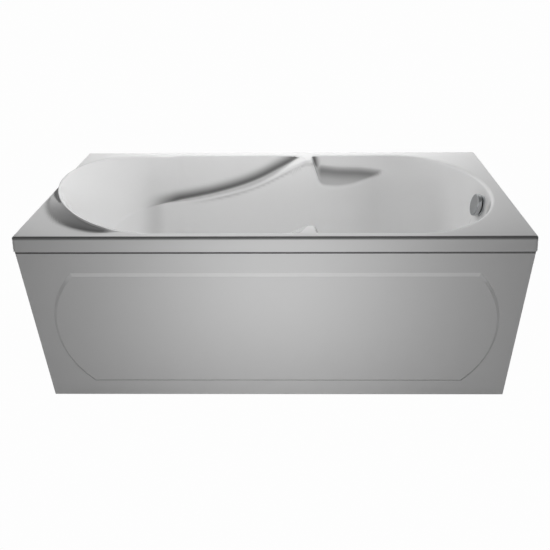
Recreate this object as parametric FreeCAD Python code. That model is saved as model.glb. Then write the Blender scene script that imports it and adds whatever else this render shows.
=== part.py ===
import FreeCAD, Part
import math
import os

from FreeCAD import Placement, Rotation, Vector

# Alcove bathtub: a vacuum-formed acrylic tub on a steel frame with levelling feet, a formed front
# panel, a rotary overflow and a pop-up waste with its trap.
# Frame: millimetres, origin on the floor under the middle of the tub, +X towards the waste end,
# -Y towards the front panel, +Z up.

# ---- driving dimensions --------------------------------------------------------------------

# tub: rim and skirt
LENGTH = 1500.0
WIDTH = 700.0
RIM_HEIGHT = 600.0
SHEET = 5.0                  # acrylic with its glass-fibre backing
SKIRT_DEPTH = 45.0
SKIRT_FLARE = 6.0            # the skirt leans out this much at the front and at both ends
CORNER_R = 11.0              # corners of the rim seen from above
RIM_EDGE_R = 4.5             # rolled outer edge of the rim

# tub: bowl
BOWL_DEPTH = 420.0
SIDE_LAND = 37.0             # flat rim beside the bowl
WASTE_END_LAND = 53.0        # flat rim beyond the bowl at the waste end
WASTE_OVAL = 287.0           # length of the half-oval at the waste end
HEAD_OVAL = 214.0            # length of the half-oval at the head end
HEAD_NARROW = 13.0           # each side of the bowl comes in this much at the headrest
FLOOR_WASTE_OVAL = 150.0     # the same half-ovals on the floor of the bowl
FLOOR_HEAD_OVAL = 120.0
SIDE_LEAN = math.radians(4.0)
WASTE_LEAN = math.radians(10.0)
BACK_LEAN = math.radians(28.0)
SIDE_FILLET = 90.0
WASTE_FILLET = 80.0
BACK_FILLET = 120.0
ROLL_R = 10.0                # rolled edge between the rim and the bowl
LIP_ROLL_R = 3.0             # the same along the crest of the lip

# tub: headrest lip
LIP_HEIGHT = 42.0
LIP_SETBACK = 46.0           # crest of the lip, in from the end of the tub
LIP_FOOT = 33.0              # foot of the lip, out from its crest at the end
LIP_FOOT_SIDE = 3.0          # the same at the sides
LIP_RUN = 266.0              # the crest falls to the rim over this length

# tub: armrests, as (x, depth below the rim) along the ridge and (x, distance in from the side of
# the tub) of the inner face at ARM_LEVEL below the rim
ARM_LEVEL = 150.0
ARM_RIDGE = [(-640, 195), (-490, 173), (-392, 160), (-235, 130), (-79, 77), (0, 37), (60, 9)]
ARM_TOP_X = (92.0, 118.0)    # flat top of the armrest, a hair below the rim
ARM_TOP_DROP = 1.0
ARM_STEP_FOOT = (154.0, 102.0)
ARM_FACE = [(-800, 44), (-400, 67), (0, 91), (150, 96), (290, 83), (430, 48), (700, -35)]
LEDGE_SLOPE = 1.0            # the ledge behind the step rises outwards
LEDGE = [(90, 95), (154, 102), (209, 106), (264, 101), (302, 93), (339, 81), (394, 49), (520, -70)]

# waste and overflow
WASTE_SETBACK = 227.0        # axis of the waste, in from the tip of the bowl
WASTE_HOLE_R = 26.0
WASTE_BORE_R = 22.0
PLUG_R = 30.0
PLUG_SEAL_W = 4.5
STEM_R = 4.0
LIFTER_R = 10.0
WASTE_FLANGE_R = 35.0
TAIL_LENGTH = 14.0
TAIL_WALL = 3.4
INLET_LENGTH = 60.0          # from the axis of the waste to the end of the hose inlet
GLAND_LENGTH = 30.0
GLAND_R = 6.0
PIPE_WALL = 3.5
TRAP_R = 42.0
TRAP_HEIGHT = 70.0           # from the floor of the trap to the top of its bell
TRAP_NUT_H = 18.0
DIP_R = 21.0
CUP_LAP = 6.0                # the cup screws on this far
CUP_RIBS = 12
PIPE_R = 20.0                # outlet of the trap
PIPE_NECK = 1.0              # the outlet is this much thinner between the bell and its stop collar
PIPE_STOP = (11.0, 3.0, 2.5)  # stop collar: its far face from the bell, its width and its height
PIPE_FREE = 50.0             # straight free length of the outlet beyond its stop collar
OVERFLOW_DROP = 65.0         # axis of the overflow below the rim
OVERFLOW_HOLE_R = 25.0
FLANGE_R = 35.0
FLANGE_T = 6.0
KNOB_R = 37.0
KNOB_DEPTH = 13.0
KNOB_GAP = 6.0               # water passes between the knob and its flange
KNOB_SHELL = 3.0
PAD_T = 2.0                  # the wall is thickened behind the flange
SPOKE_W = 9.0
SPOKE_T = 4.0
FLANGE_SCREW_Y = 16.0
FLANGE_SCREW_R = 2.0
DRUM_R = 12.0
SPOUT_DROP = 50.0            # from the axis of the overflow to the end of its spout
SPINDLE_R = 5.0
RUNNING = 0.08               # radial clearance of a spindle, stem or rod in its bore
SEAL_T = 2.0
BODY_R = 31.0                # cup of the overflow body
BODY_DEPTH = 34.0
HOSE_RIB_R = 18.0
HOSE_ROOT_R = 16.0
HOSE_BORE_R = 14.0
HOSE_RIB_PITCH = 12.0
HOSE_BEND_R = 95.0
HOSE_DROP = 35.0             # level run of the hose below the underside of the bowl
HOSE_NUT_R = 21.0
HOSE_NUT_LENGTH = 26.0
FIT = 0.3                    # gap of a loose fit
CABLE_R = 2.5
CABLE_Y = 27.0

# base board and frame
BOARD_SETBACK = (450.0, 350.0, 185.0)       # in from the head end, the waste end and each side
BOARD_T = 16.0
BOARD_CORNER_R = 30.0
BOARD_SCREWS = (0.08, 0.32, 0.64, 0.92)     # places along the board
SCREW_BITE = 12.0            # a screw goes this far into the timber
SCREW_HEAD_T = 2.2
RAIL_W = 20.0
RAIL_H = 40.0
RAIL_INSET = 25.0            # axis of a rail, in from the edge of the board
TUBE = 25.0                  # cross bars
TUBE_WALL = 2.0
BAR_INSET = 150.0            # axis of an end bar, in from the end of the tub
BAR_SETBACK = 20.0           # end of a bar, in from the side of the tub
CENTRE_BAR_X = 0.0
POST = 20.0
POST_SETBACK = 32.0          # axis of a post, in from the side of the tub
PLATE_T = 3.0
PLATE_HALF = 14.0
BOLT_R = 3.0
BOLT_AF = 10.0
BOLT_HEAD_T = 4.0
BOLT_OFFSET = 20.0           # from the middle of a post to the bolt of its foot plate
BLOCK_SCREW_X = 20.0
CAP_T = 2.0
CAP_DEPTH = 12.0
BLOCK = (80.0, 36.0, 18.0)            # rim corner block
BATTEN_T = 12.0
BATTEN_H = 35.0
BATTEN_GAP = 5.0             # between a batten and the corner block at its end

# levelling feet
FOOT_INSET = 80.0            # axis of a foot, in from the end of its bar
ROD_R = 6.0
ROD_PROUD = 9.0              # the rod stands this far above its bar
PAD_R = 30.0
PAD_H = 14.0
PAD_SEAT = 6.0               # the rod stands this high in the pad
NUT_AF = 19.0
NUT_H = 10.0

# front panel
PANEL_T = 4.0
PANEL_SETBACK = 6.0          # front face of the panel, in from the foot of the skirt
PANEL_END_SETBACK = 3.0
PANEL_TOP_GAP = 4.0          # dark gap under the skirt
PANEL_FLOOR_GAP = 4.0
PANEL_FLANGE = 14.0
PANEL_END_FLANGE = 26.0
PANEL_CORNER_R = 4.0
FIELD_INSET = 147.0          # corners of the raised field, in from the end of the panel
FIELD_BULGE = 85.0           # its arched ends stand out this much more
FIELD_TOP_GAP = 70.0         # top of the field, below the top of the panel
FIELD_BOTTOM = 66.0
FIELD_RAISE = 5.5
FIELD_BEVEL = 9.0

# sheet-metal fixings
STRIP = 2.0
CLIP_INSET = 150.0           # an end clip, in from the end bar
CLIP_W = 40.0
BRACKET_W = 60.0
BRACKET_INSET = 200.0        # a wall bracket, in from the end bar
BRACKET_DROP = 60.0
WALL_HOLE_R = 3.25
WALL_HOLE_GAP = 35.0
SCREW_R = 2.5
SMALL_SCREW_R = 2.0
SIDE_SCREW_X = 12.0

# ---- places worked out from them -----------------------------------------------------------

HALF_L = LENGTH / 2
HALF_W = WIDTH / 2
FLOOR_Z = RIM_HEIGHT - BOWL_DEPTH
UNDER_Z = FLOOR_Z - SHEET
SKIRT_Z = RIM_HEIGHT - SKIRT_DEPTH
SIDE_HALF = HALF_W - SIDE_LAND
HEAD_HALF = SIDE_HALF - HEAD_NARROW
WASTE_TIP = HALF_L - WASTE_END_LAND
WASTE_X = WASTE_TIP - WASTE_SETBACK
CREST_TIP = -HALF_L + LIP_SETBACK
CREST_Z = RIM_HEIGHT + LIP_HEIGHT
HEAD_X = CREST_TIP + HEAD_OVAL
LIP_END = CREST_TIP + LIP_RUN - 2.0
FRONT_IN = -HALF_W + SKIRT_FLARE + SHEET      # inner face of the front skirt under the rim
BACK_IN = HALF_W - SHEET
UNDER_RIM = RIM_HEIGHT - SHEET
BOARD = (BOARD_SETBACK[0] - HALF_L, HALF_L - BOARD_SETBACK[1], HALF_W - BOARD_SETBACK[2])
BOARD_Z = UNDER_Z - BOARD_T
RAIL_Y = BOARD[2] - RAIL_INSET
BAR_TOP = BOARD_Z - RAIL_H
BAR_Z = BAR_TOP - TUBE
BAR_X = HALF_L - BAR_INSET
BAR_HALF = HALF_W - BAR_SETBACK
POST_Y = HALF_W - POST_SETBACK
FOOT_Y = BAR_HALF - FOOT_INSET
ROD_TOP = BAR_TOP + ROD_PROUD
CLIP_X = (CLIP_INSET - BAR_X, 0.0, BAR_X - CLIP_INSET)
BRACKET_X = BAR_X - BRACKET_INSET
PANEL_Y = -HALF_W + PANEL_SETBACK
PANEL_HALF = HALF_L - PANEL_END_SETBACK
PANEL_TOP = SKIRT_Z - PANEL_TOP_GAP
FIELD_X = PANEL_HALF - FIELD_INSET
FIELD_TOP = PANEL_TOP - FIELD_TOP_GAP
WASTE_TOP = FLOOR_Z + 3.0
OVERFLOW_Z = RIM_HEIGHT - OVERFLOW_DROP
HOSE_TOP = OVERFLOW_Z - SPOUT_DROP
HOSE_Z = UNDER_Z - HOSE_DROP
PLUG_FOOT = HOSE_Z - HOSE_RIB_R               # foot of the stem of the plug
WASTE_FOOT = HOSE_Z - 2 * HOSE_NUT_R + 2.0    # lower end of the waste body
TRAP_TOP = WASTE_FOOT - TRAP_NUT_H / 2 - PIPE_WALL
TRAP_FLOOR = TRAP_TOP - TRAP_HEIGHT
TRAP_LIP = TRAP_FLOOR + 20.0
PIPE_Z = TRAP_TOP - PIPE_R - PIPE_WALL


# ---- helpers -------------------------------------------------------------------------------

def box(x0, x1, y0, y1, z0, z1):
    return Part.makeBox(x1 - x0, y1 - y0, z1 - z0, Vector(x0, y0, z0))


def rod(x, y, z0, z1, radius):
    return Part.makeCylinder(radius, z1 - z0, Vector(x, y, z0))


def ring(x, y, z0, z1, outer, inner):
    return rod(x, y, z0, z1, outer).cut(rod(x, y, z0 - 1, z1 + 1, inner))


def turned(profile):
    """A solid of revolution about Z from (radius, height) points."""
    points = [Vector(r, 0, z) for r, z in profile]
    face = Part.Face(Part.makePolygon(points + points[:1]))
    return face.revolve(Vector(0, 0, 0), Vector(0, 0, 1), 360)


def fused(shapes):
    return shapes[0].multiFuse(shapes[1:]).removeSplitter()


def square_tube(along, x0, x1, y0, y1, z0, z1):
    """A hollow steel section whose open ends face along the named axis."""
    wall = {"x": (0, TUBE_WALL, TUBE_WALL), "y": (TUBE_WALL, 0, TUBE_WALL), "z": (TUBE_WALL, TUBE_WALL, 0)}
    dx, dy, dz = wall[along]
    return box(x0, x1, y0, y1, z0, z1).cut(box(x0 + dx, x1 - dx, y0 + dy, y1 - dy, z0 + dz, z1 - dz))


def rounded_rectangle(x0, x1, y0, y1, z, radius):
    """A closed level wire with four round corners."""
    cut = radius * (1 - math.sqrt(0.5))
    edges = []
    corners = [(x1, y0, -1, 1), (x1, y1, -1, -1), (x0, y1, 1, -1), (x0, y0, 1, 1)]
    ends = []
    for x, y, sx, sy in corners:
        along_x = Vector(x + sx * radius, y, z)
        along_y = Vector(x, y + sy * radius, z)
        middle = Vector(x + sx * cut, y + sy * cut, z)
        first, last = (along_x, along_y) if sx * sy < 0 else (along_y, along_x)
        ends.append((first, middle, last))
    for i, (first, middle, last) in enumerate(ends):
        edges.append(Part.Arc(first, middle, last).toShape())
        edges.append(Part.LineSegment(last, ends[(i + 1) % 4][0]).toShape())
    return Part.Wire(edges)


def smooth(points):
    curve = Part.BSplineCurve()
    curve.interpolate(Points=points)
    return curve.toShape()


def half_oval(x, length, half, z, side):
    """Half of an oval from one side of the bowl round to the other; side is +1 or -1."""
    turns = [math.radians(-90 + 15 * step) for step in range(13)]
    return smooth([Vector(x + side * length * math.cos(a), side * half * math.sin(a), z) for a in turns])


def bowl_wire(z, waste_x, waste_length, waste_half, head_x, head_length, head_half):
    """The closed outline of the bowl: two half-ovals joined by the long sides."""
    waste = half_oval(waste_x, waste_length, waste_half, z, 1)
    head = half_oval(head_x, head_length, head_half, z, -1)
    back = Part.LineSegment(waste.Vertexes[1].Point, head.Vertexes[0].Point).toShape()
    front = Part.LineSegment(head.Vertexes[1].Point, waste.Vertexes[0].Point).toShape()
    return Part.Wire([waste, back, head, front])


# ---- the tub -------------------------------------------------------------------------------

def wall_inset(z, top, lean, fillet, out):
    """How far a leaning wall with a round foot lies in from its top edge, at a height z.

    out is the distance outside the wet face: 0 for the face itself, SHEET for its dry side.
    """
    height = z - (FLOOR_Z - out)
    drop = top - FLOOR_Z + out
    radius = fillet + out
    tangent = radius * (1 - math.sin(lean))
    shift = out / math.cos(lean)
    if height >= tangent:
        return (drop - height) * math.tan(lean) - shift
    centre = (drop - tangent) * math.tan(lean) + radius * math.cos(lean) - shift
    return centre - math.sqrt(max(radius ** 2 - (radius - height) ** 2, 0.0))


def roll(z, top, radius):
    """How far a rolled edge opens outwards near its top."""
    rise = min(max(z - (top - radius), 0.0), radius)
    return radius - math.sqrt(max(radius ** 2 - rise ** 2, 0.0))


def bowl_section(z, out):
    """The outline of the bowl at one level, out mm outside its wet face."""
    fall = min(max((RIM_HEIGHT - z) / BOWL_DEPTH, 0.0), 1.0)
    low = min(z, RIM_HEIGHT)
    wet = out == 0.0
    opening = roll(z, RIM_HEIGHT, ROLL_R) if wet else 0.0
    lip_opening = roll(z, CREST_Z, LIP_ROLL_R) if wet else 0.0
    half = SIDE_HALF - wall_inset(low, RIM_HEIGHT, SIDE_LEAN, SIDE_FILLET, out) + opening
    tip = WASTE_TIP - wall_inset(low, RIM_HEIGHT, WASTE_LEAN, WASTE_FILLET, out) + opening
    waste_length = WASTE_OVAL + (FLOOR_WASTE_OVAL - WASTE_OVAL) * fall
    crest = min(z, CREST_Z)
    head_half = HEAD_HALF - wall_inset(low, RIM_HEIGHT, SIDE_LEAN, SIDE_FILLET, out) + lip_opening
    head = CREST_TIP + wall_inset(crest, CREST_Z, BACK_LEAN, BACK_FILLET, out) - lip_opening
    head_length = HEAD_OVAL + (FLOOR_HEAD_OVAL - HEAD_OVAL) * fall
    return bowl_wire(z, tip - waste_length, waste_length, half, head + head_length, head_length, head_half)


def bowl(out):
    """The space of the bowl without its armrests, out mm outside its wet face."""
    radius = SIDE_FILLET + out
    foot = [FLOOR_Z - out + radius * (1 - math.cos(math.radians(a))) for a in (0, 15, 30, 45, 60, 75, 90)]
    edge = [RIM_HEIGHT - ROLL_R * f for f in (1.0, 0.5, 0.15, 0.0)]
    above = [RIM_HEIGHT, CREST_Z - LIP_ROLL_R, CREST_Z - LIP_ROLL_R * 0.4, CREST_Z, CREST_Z + 8.0]
    zones = [(foot, False), ([foot[-1], edge[0]], True), (edge, True), (above, True)]
    lofts = [Part.makeLoft([bowl_section(z, out) for z in levels], True, ruled) for levels, ruled in zones]
    return lofts[0].multiFuse(lofts[1:])


def lip_top(drop):
    """Everything below the top of the rim and of the headrest lip, less drop mm."""
    count = 8
    crest = []
    for step in range(count + 1):
        turn = math.pi / 2 * step / count
        x = LIP_END - LIP_RUN * step / count
        crest.append(Vector(x, -WIDTH, RIM_HEIGHT - drop + LIP_HEIGHT * math.sin(turn)))
    far = Vector(-LENGTH, -WIDTH, CREST_Z - drop)
    corners = [Vector(-LENGTH, -WIDTH, 0), Vector(LENGTH, -WIDTH, 0),
               Vector(LENGTH, -WIDTH, RIM_HEIGHT - drop)]
    edges = [smooth(crest), Part.LineSegment(crest[-1], far).toShape()]
    chain = [far] + corners + [crest[0]]
    edges += [Part.LineSegment(a, b).toShape() for a, b in zip(chain, chain[1:])]
    return Part.Face(Part.Wire(Part.sortEdges(edges)[0])).extrude(Vector(0, 2 * WIDTH, 0))


def lip_body(inset):
    """The raised headrest lip as a full body, with a hollow outer flank."""
    start = -SHEET / LIP_HEIGHT if inset == 0.0 else -2 * SHEET / LIP_HEIGHT
    wires = []
    for part in (start, 0.0, 0.12, 0.3, 0.55, 0.85, 1.2):
        spread = (1 - min(max(part, 0.0), 1.0)) ** 2.2
        length = HEAD_OVAL + SHEET - inset + LIP_FOOT * spread
        half = HEAD_HALF + SHEET - inset + LIP_FOOT_SIDE * spread
        z = RIM_HEIGHT + LIP_HEIGHT * part
        head = half_oval(HEAD_X, length, half, z, -1)
        chain = [head.Vertexes[1].Point, Vector(LIP_END, -half, z), Vector(LIP_END, half, z),
                 head.Vertexes[0].Point]
        edges = [Part.LineSegment(a, b).toShape() for a, b in zip(chain, chain[1:])]
        wires.append(Part.Wire([head] + edges))
    return Part.makeLoft(wires, True, True)


def rim_slab(inset, top, bottom):
    """The rim with its skirt as a full slab; the back wall is plumb, the other three flare."""
    wires = []
    for z in (top, bottom):
        flare = SKIRT_FLARE * (1 - (RIM_HEIGHT - z) / SKIRT_DEPTH) + inset
        wires.append(rounded_rectangle(-HALF_L + flare, HALF_L - flare, -HALF_W + flare,
                                       HALF_W - inset, z, CORNER_R - inset))
    return Part.makeLoft(wires, True, True)


def closed_face(curve_points, corners):
    """A face bounded by one smooth curve and the straight lines that close it."""
    chain = [curve_points[-1]] + corners + [curve_points[0]]
    edges = [smooth(curve_points)] + [Part.LineSegment(a, b).toShape() for a, b in zip(chain, chain[1:])]
    return Part.Wire(Part.sortEdges(edges)[0])


def armrest(side, inset):
    """One armrest with the ledge behind it, as the body that fills the bowl outside its inner face.

    inset moves its faces into the armrest, so that SHEET gives the hollow of its dry side, which
    ends under the rim.
    """
    inner_y = HALF_W - max(away for x, away in ARM_FACE)
    step_x, step_z = ARM_STEP_FOOT[0], RIM_HEIGHT - ARM_STEP_FOOT[1]
    top = RIM_HEIGHT - ARM_TOP_DROP - inset
    below = UNDER_Z - LIP_RUN / 3
    ridge = [Vector(x, side * HALF_W / 2, RIM_HEIGHT - depth - inset) for x, depth in ARM_RIDGE]
    ridge.append(Vector(ARM_TOP_X[0], side * HALF_W / 2, top))
    corners = [Vector(x, side * HALF_W / 2, z) for x, z in (
        (ARM_TOP_X[1] - inset, top), (step_x - inset, step_z), (step_x, below), (ridge[0].x, below))]
    swoop = Part.Face(closed_face(ridge, corners)).extrude(Vector(0, side * HALF_W / 2, 0))
    wires = []
    for away in (-60.0, 80.0):
        y = side * (inner_y + away)
        rise = RIM_HEIGHT + away * LEDGE_SLOPE - inset * math.hypot(1, LEDGE_SLOPE)
        line = [Vector(x, y, rise - depth) for x, depth in LEDGE]
        wires.append(closed_face(line, [Vector(line[-1].x, y, below), Vector(line[0].x, y, below)]))
    ledge = Part.makeLoft(wires, True, True)
    wires = []
    for z in (below - SHEET, CREST_Z + SHEET if inset == 0.0 else UNDER_RIM):
        shift = (z - RIM_HEIGHT + ARM_LEVEL) * math.tan(SIDE_LEAN) + inset
        face = [Vector(x, side * (HALF_W - away + shift), z) for x, away in ARM_FACE]
        far = [Vector(face[-1].x, side * WIDTH, z), Vector(face[0].x, side * WIDTH, z)]
        wires.append(closed_face(face, far))
    outside = Part.makeLoft(wires, True, True)
    return swoop.fuse(ledge).common(outside)


def overflow_place():
    """The overflow sits square on the leaning wall of the waste end."""
    x = WASTE_TIP - wall_inset(OVERFLOW_Z, RIM_HEIGHT, WASTE_LEAN, WASTE_FILLET, 0.0)
    turn = Rotation(Vector(0, 1, 0), -90 + math.degrees(WASTE_LEAN))
    return Placement(Vector(x, 0, OVERFLOW_Z), turn)


def placed(shape):
    """Moves a piece of the overflow from its own axis to the wall."""
    moved = shape.copy()
    moved.Placement = overflow_place().multiply(shape.Placement)
    return moved


def tub_shell():
    """The vacuum-formed sheet: rim and skirt, headrest lip, bowl and armrests in one wall."""
    top = lip_top(0.0)
    slab = rim_slab(0.0, RIM_HEIGHT, SKIRT_Z)
    upper = [e for e in slab.Edges if all(abs(v.Z - RIM_HEIGHT) < 0.01 for v in e.Vertexes)]
    slab = slab.makeFillet(RIM_EDGE_R, upper)
    cavity = bowl(0.0)
    outside = bowl(SHEET)
    skin = outside.common(top)
    for side in (-1, 1):
        cavity = cavity.cut(armrest(side, 0.0))
        skin = skin.cut(armrest(side, SHEET))
    skin = skin.cut(cavity)
    hollow = rim_slab(SHEET, UNDER_RIM, SKIRT_Z - 1.0).fuse(lip_body(SHEET).common(lip_top(SHEET)))
    rim = slab.fuse(lip_body(0.0).common(top)).cut(hollow).cut(outside).cut(cavity)
    shell = rim.fuse(skin)
    seat = placed(rod(0, 0, 0.0, FLANGE_R, FLANGE_R + 2 * FIT))
    pad = placed(rod(0, 0, -SHEET - PAD_T, -1.0, FLANGE_R))
    hole = placed(rod(0, 0, -FLANGE_R, FLANGE_R, OVERFLOW_HOLE_R))
    waste = rod(WASTE_X, 0, UNDER_Z - SHEET, FLOOR_Z + SHEET, WASTE_HOLE_R)
    return shell.fuse(pad).cut(seat).cut(hole).cut(waste)


# ---- board, timber and steel frame -----------------------------------------------------------

def prism(wire, height):
    return Part.Face(wire).extrude(Vector(0, 0, height))


def hexagon(x, y, z0, z1, across_flats):
    """A hexagonal prism along Z."""
    radius = across_flats / math.sqrt(3)
    turns = [math.radians(60 * k) for k in range(6)]
    points = [Vector(x + radius * math.cos(a), y + radius * math.sin(a), z0) for a in turns]
    return prism(Part.makePolygon(points + points[:1]), z1 - z0)


def foot_places():
    ends = {"left": -BAR_X, "right": BAR_X}
    rows = {"front": -FOOT_Y, "back": FOOT_Y}
    places = {f"{row}_{end}": (x, y) for row, y in rows.items() for end, x in ends.items()}
    places["centre"] = (CENTRE_BAR_X, 0.0)
    return places


def board_screw_places():
    low, high, half = BOARD
    xs = [low + (high - low) * f for f in BOARD_SCREWS]
    return [(x, side * RAIL_Y) for x in xs for side in (-1, 1)]


def base_board():
    low, high, half = BOARD
    board = prism(rounded_rectangle(low, high, -half, half, BOARD_Z, BOARD_CORNER_R), BOARD_T)
    for x, y in board_screw_places():
        board = board.cut(rod(x, y, BOARD_Z - 1, BOARD_Z + SCREW_BITE + FIT, SCREW_R + RUNNING))
    return board


def board_screws():
    screws = []
    for x, y in board_screw_places():
        head = rod(x, y, BAR_TOP - SCREW_HEAD_T, BAR_TOP, 2 * SCREW_R)
        screws.append(head.fuse(rod(x, y, BAR_TOP, BOARD_Z + SCREW_BITE, SCREW_R)))
    return Part.makeCompound(screws)


def long_rail(side):
    end = BAR_X + TUBE / 2
    y = side * RAIL_Y
    rail = square_tube("x", -end, end, y - RAIL_W / 2, y + RAIL_W / 2, BAR_TOP, BOARD_Z)
    for x, at in board_screw_places():
        if at == y:
            rail = rail.cut(rod(x, y, BAR_TOP - 1, BOARD_Z + 1, SCREW_R + RUNNING))
    return rail


def cross_bar(x, half):
    bar = square_tube("y", x - TUBE / 2, x + TUBE / 2, -half, half, BAR_Z, BAR_TOP)
    for fx, fy in foot_places().values():
        if fx == x:
            bar = bar.cut(rod(fx, fy, BAR_Z - 1, BAR_TOP + 1, ROD_R + FIT))
    for bx, by in post_bolt_places():
        if bx == x:
            bar = bar.cut(rod(bx, by, BAR_Z - 1, BAR_TOP + 1, BOLT_R + RUNNING))
    return bar


def post_bolt_places():
    return [(sx * BAR_X, sy * (POST_Y - BOLT_OFFSET)) for sx in (-1, 1) for sy in (-1, 1)]


def post_places():
    rows = {"front": -1, "back": 1}
    ends = {"left": -1, "right": 1}
    return {f"{row}_{end}": (sx * BAR_X, sy) for row, sy in rows.items() for end, sx in ends.items()}


def block_screw_places(x, side):
    return [(x + dx, side * POST_Y) for dx in (-BLOCK_SCREW_X, BLOCK_SCREW_X)]


def corner_post(x, side):
    """A steel post with a plate welded on each end."""
    y = side * POST_Y
    foot_z = BAR_TOP + PLATE_T
    head_z = UNDER_RIM - BLOCK[2] - PLATE_T
    post = square_tube("z", x - POST / 2, x + POST / 2, y - POST / 2, y + POST / 2, foot_z, head_z)
    ys = sorted((side * (POST_Y - BOLT_OFFSET - 2 * BOLT_R), side * BAR_HALF))
    foot = box(x - TUBE / 2, x + TUBE / 2, ys[0], ys[1], BAR_TOP, foot_z)
    foot = foot.cut(rod(x, side * (POST_Y - BOLT_OFFSET), BAR_TOP - 1, foot_z + 1, BOLT_R + RUNNING))
    width = BLOCK_SCREW_X + 2 * BOLT_R
    head = box(x - width, x + width, y - PLATE_HALF, y + PLATE_HALF, head_z, head_z + PLATE_T)
    for sx, sy in block_screw_places(x, side):
        head = head.cut(rod(sx, sy, head_z - 1, head_z + PLATE_T + 1, SCREW_R + RUNNING))
    return fused([post, foot, head])


def post_bolts():
    bolts = []
    for x, y in post_bolt_places():
        top = BAR_TOP + PLATE_T
        shank = rod(x, y, BAR_Z - NUT_H, top, BOLT_R)
        head = hexagon(x, y, top, top + BOLT_HEAD_T, BOLT_AF)
        nut = hexagon(x, y, BAR_Z - BOLT_HEAD_T, BAR_Z, BOLT_AF)
        bolts.append(fused([shank, head, nut]))
    return Part.makeCompound(bolts)


def rim_block(x, side):
    outer = FRONT_IN if side < 0 else BACK_IN
    ys = sorted((outer, outer - side * BLOCK[1]))
    block = box(x - BLOCK[0] / 2, x + BLOCK[0] / 2, ys[0], ys[1], UNDER_RIM - BLOCK[2], UNDER_RIM)
    for sx, sy in block_screw_places(x, side):
        base = UNDER_RIM - BLOCK[2]
        block = block.cut(rod(sx, sy, base - 1, base + SCREW_BITE + FIT, SCREW_R + RUNNING))
    return block


def block_screws():
    screws = []
    for x, side in post_places().values():
        for sx, sy in block_screw_places(x, side):
            base = UNDER_RIM - BLOCK[2]
            low = base - PLATE_T
            head = rod(sx, sy, low - SCREW_HEAD_T, low, 2 * SCREW_R)
            screws.append(head.fuse(rod(sx, sy, low, base + SCREW_BITE, SCREW_R)))
    return Part.makeCompound(screws)


def rim_batten(side):
    """A timber strip under the rim, along the front or the back."""
    half = BAR_X - BLOCK[0] / 2 - BATTEN_GAP
    outer = FRONT_IN if side < 0 else BACK_IN
    ys = sorted((outer, outer - side * BATTEN_T))
    batten = box(-half, half, ys[0], ys[1], UNDER_RIM - BATTEN_H, UNDER_RIM)
    for x in side_screw_places(side):
        batten = batten.cut(side_screw(x, side, RUNNING))
    return batten


def side_screw_places(side):
    centres = CLIP_X if side < 0 else (-BRACKET_X, BRACKET_X)
    return [x + dx for x in centres for dx in (-SIDE_SCREW_X, SIDE_SCREW_X)]


def side_screw(x, side, spare):
    """A screw through a strip into the inner face of a batten."""
    inner = (FRONT_IN if side < 0 else BACK_IN) - side * BATTEN_T
    z = UNDER_RIM - BATTEN_H / 2
    along = Vector(0, side, 0)
    start = Vector(x, inner - side * (STRIP + spare), z)
    shank = Part.makeCylinder(SMALL_SCREW_R + spare, BATTEN_T + spare, start, along)
    if spare:
        return shank
    seat = Vector(x, inner - side * (STRIP + SCREW_HEAD_T), z)
    return Part.makeCylinder(2 * SCREW_R, SCREW_HEAD_T, seat, along).fuse(shank)


def side_screws(side):
    return Part.makeCompound([side_screw(x, side, 0.0) for x in side_screw_places(side)])


def tube_end_caps():
    caps = []
    end = BAR_X + TUBE / 2
    z = (BAR_TOP + BOARD_Z) / 2
    for sx in (-1, 1):
        for sy in (-1, 1):
            y = sy * RAIL_Y
            xs = sorted((sx * end, sx * (end + CAP_T)))
            plate = box(xs[0], xs[1], y - RAIL_W / 2, y + RAIL_W / 2, BAR_TOP, BOARD_Z)
            inner = TUBE_WALL + FIT
            xs = sorted((sx * (end - CAP_DEPTH), sx * end))
            plug = box(xs[0], xs[1], y - RAIL_W / 2 + inner, y + RAIL_W / 2 - inner,
                       BAR_TOP + inner, BOARD_Z - inner)
            caps.append(plate.fuse(plug))
    return Part.makeCompound(caps)


# ---- levelling feet ----------------------------------------------------------------------------

def foot_rod(x, y):
    thread = rod(x, y, PAD_SEAT, ROD_TOP, ROD_R)
    chamfer = [e for e in thread.Edges if abs(e.BoundBox.ZMin - ROD_TOP) < 0.01]
    return thread.makeChamfer(1.0, chamfer)


def foot_pad(x, y):
    bore = ROD_R + RUNNING
    pad = turned([(0, 0), (PAD_R, 0), (PAD_R, PAD_H * 0.3), (PAD_R * 0.85, PAD_H * 0.55),
                  (2 * ROD_R, PAD_H), (bore, PAD_H), (bore, PAD_SEAT), (0, PAD_SEAT)])
    pad.translate(Vector(x, y, 0))
    return pad


def adjuster_nuts():
    nuts = []
    for x, y in foot_places().values():
        for k in range(2):
            top = BAR_Z - k * NUT_H
            nut = hexagon(x, y, top - NUT_H, top, NUT_AF)
            nuts.append(nut.cut(rod(x, y, top - NUT_H - 1, top + 1, ROD_R + RUNNING)))
    return Part.makeCompound(nuts)


# ---- front panel and its fixings -----------------------------------------------------------------

def field_wire(inset, y):
    """Outline of the raised field: level top and bottom, arched ends."""
    x = FIELD_X - inset * 0.6
    bulge = FIELD_X + FIELD_BULGE - inset
    top, bottom = FIELD_TOP - inset, FIELD_BOTTOM + inset
    middle = (top + bottom) / 2
    right = Part.Arc(Vector(x, y, bottom), Vector(bulge, y, middle), Vector(x, y, top)).toShape()
    left = Part.Arc(Vector(-x, y, top), Vector(-bulge, y, middle), Vector(-x, y, bottom)).toShape()
    upper = Part.LineSegment(Vector(x, y, top), Vector(-x, y, top)).toShape()
    lower = Part.LineSegment(Vector(-x, y, bottom), Vector(x, y, bottom)).toShape()
    return Part.Wire([right, upper, left, lower])


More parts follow.
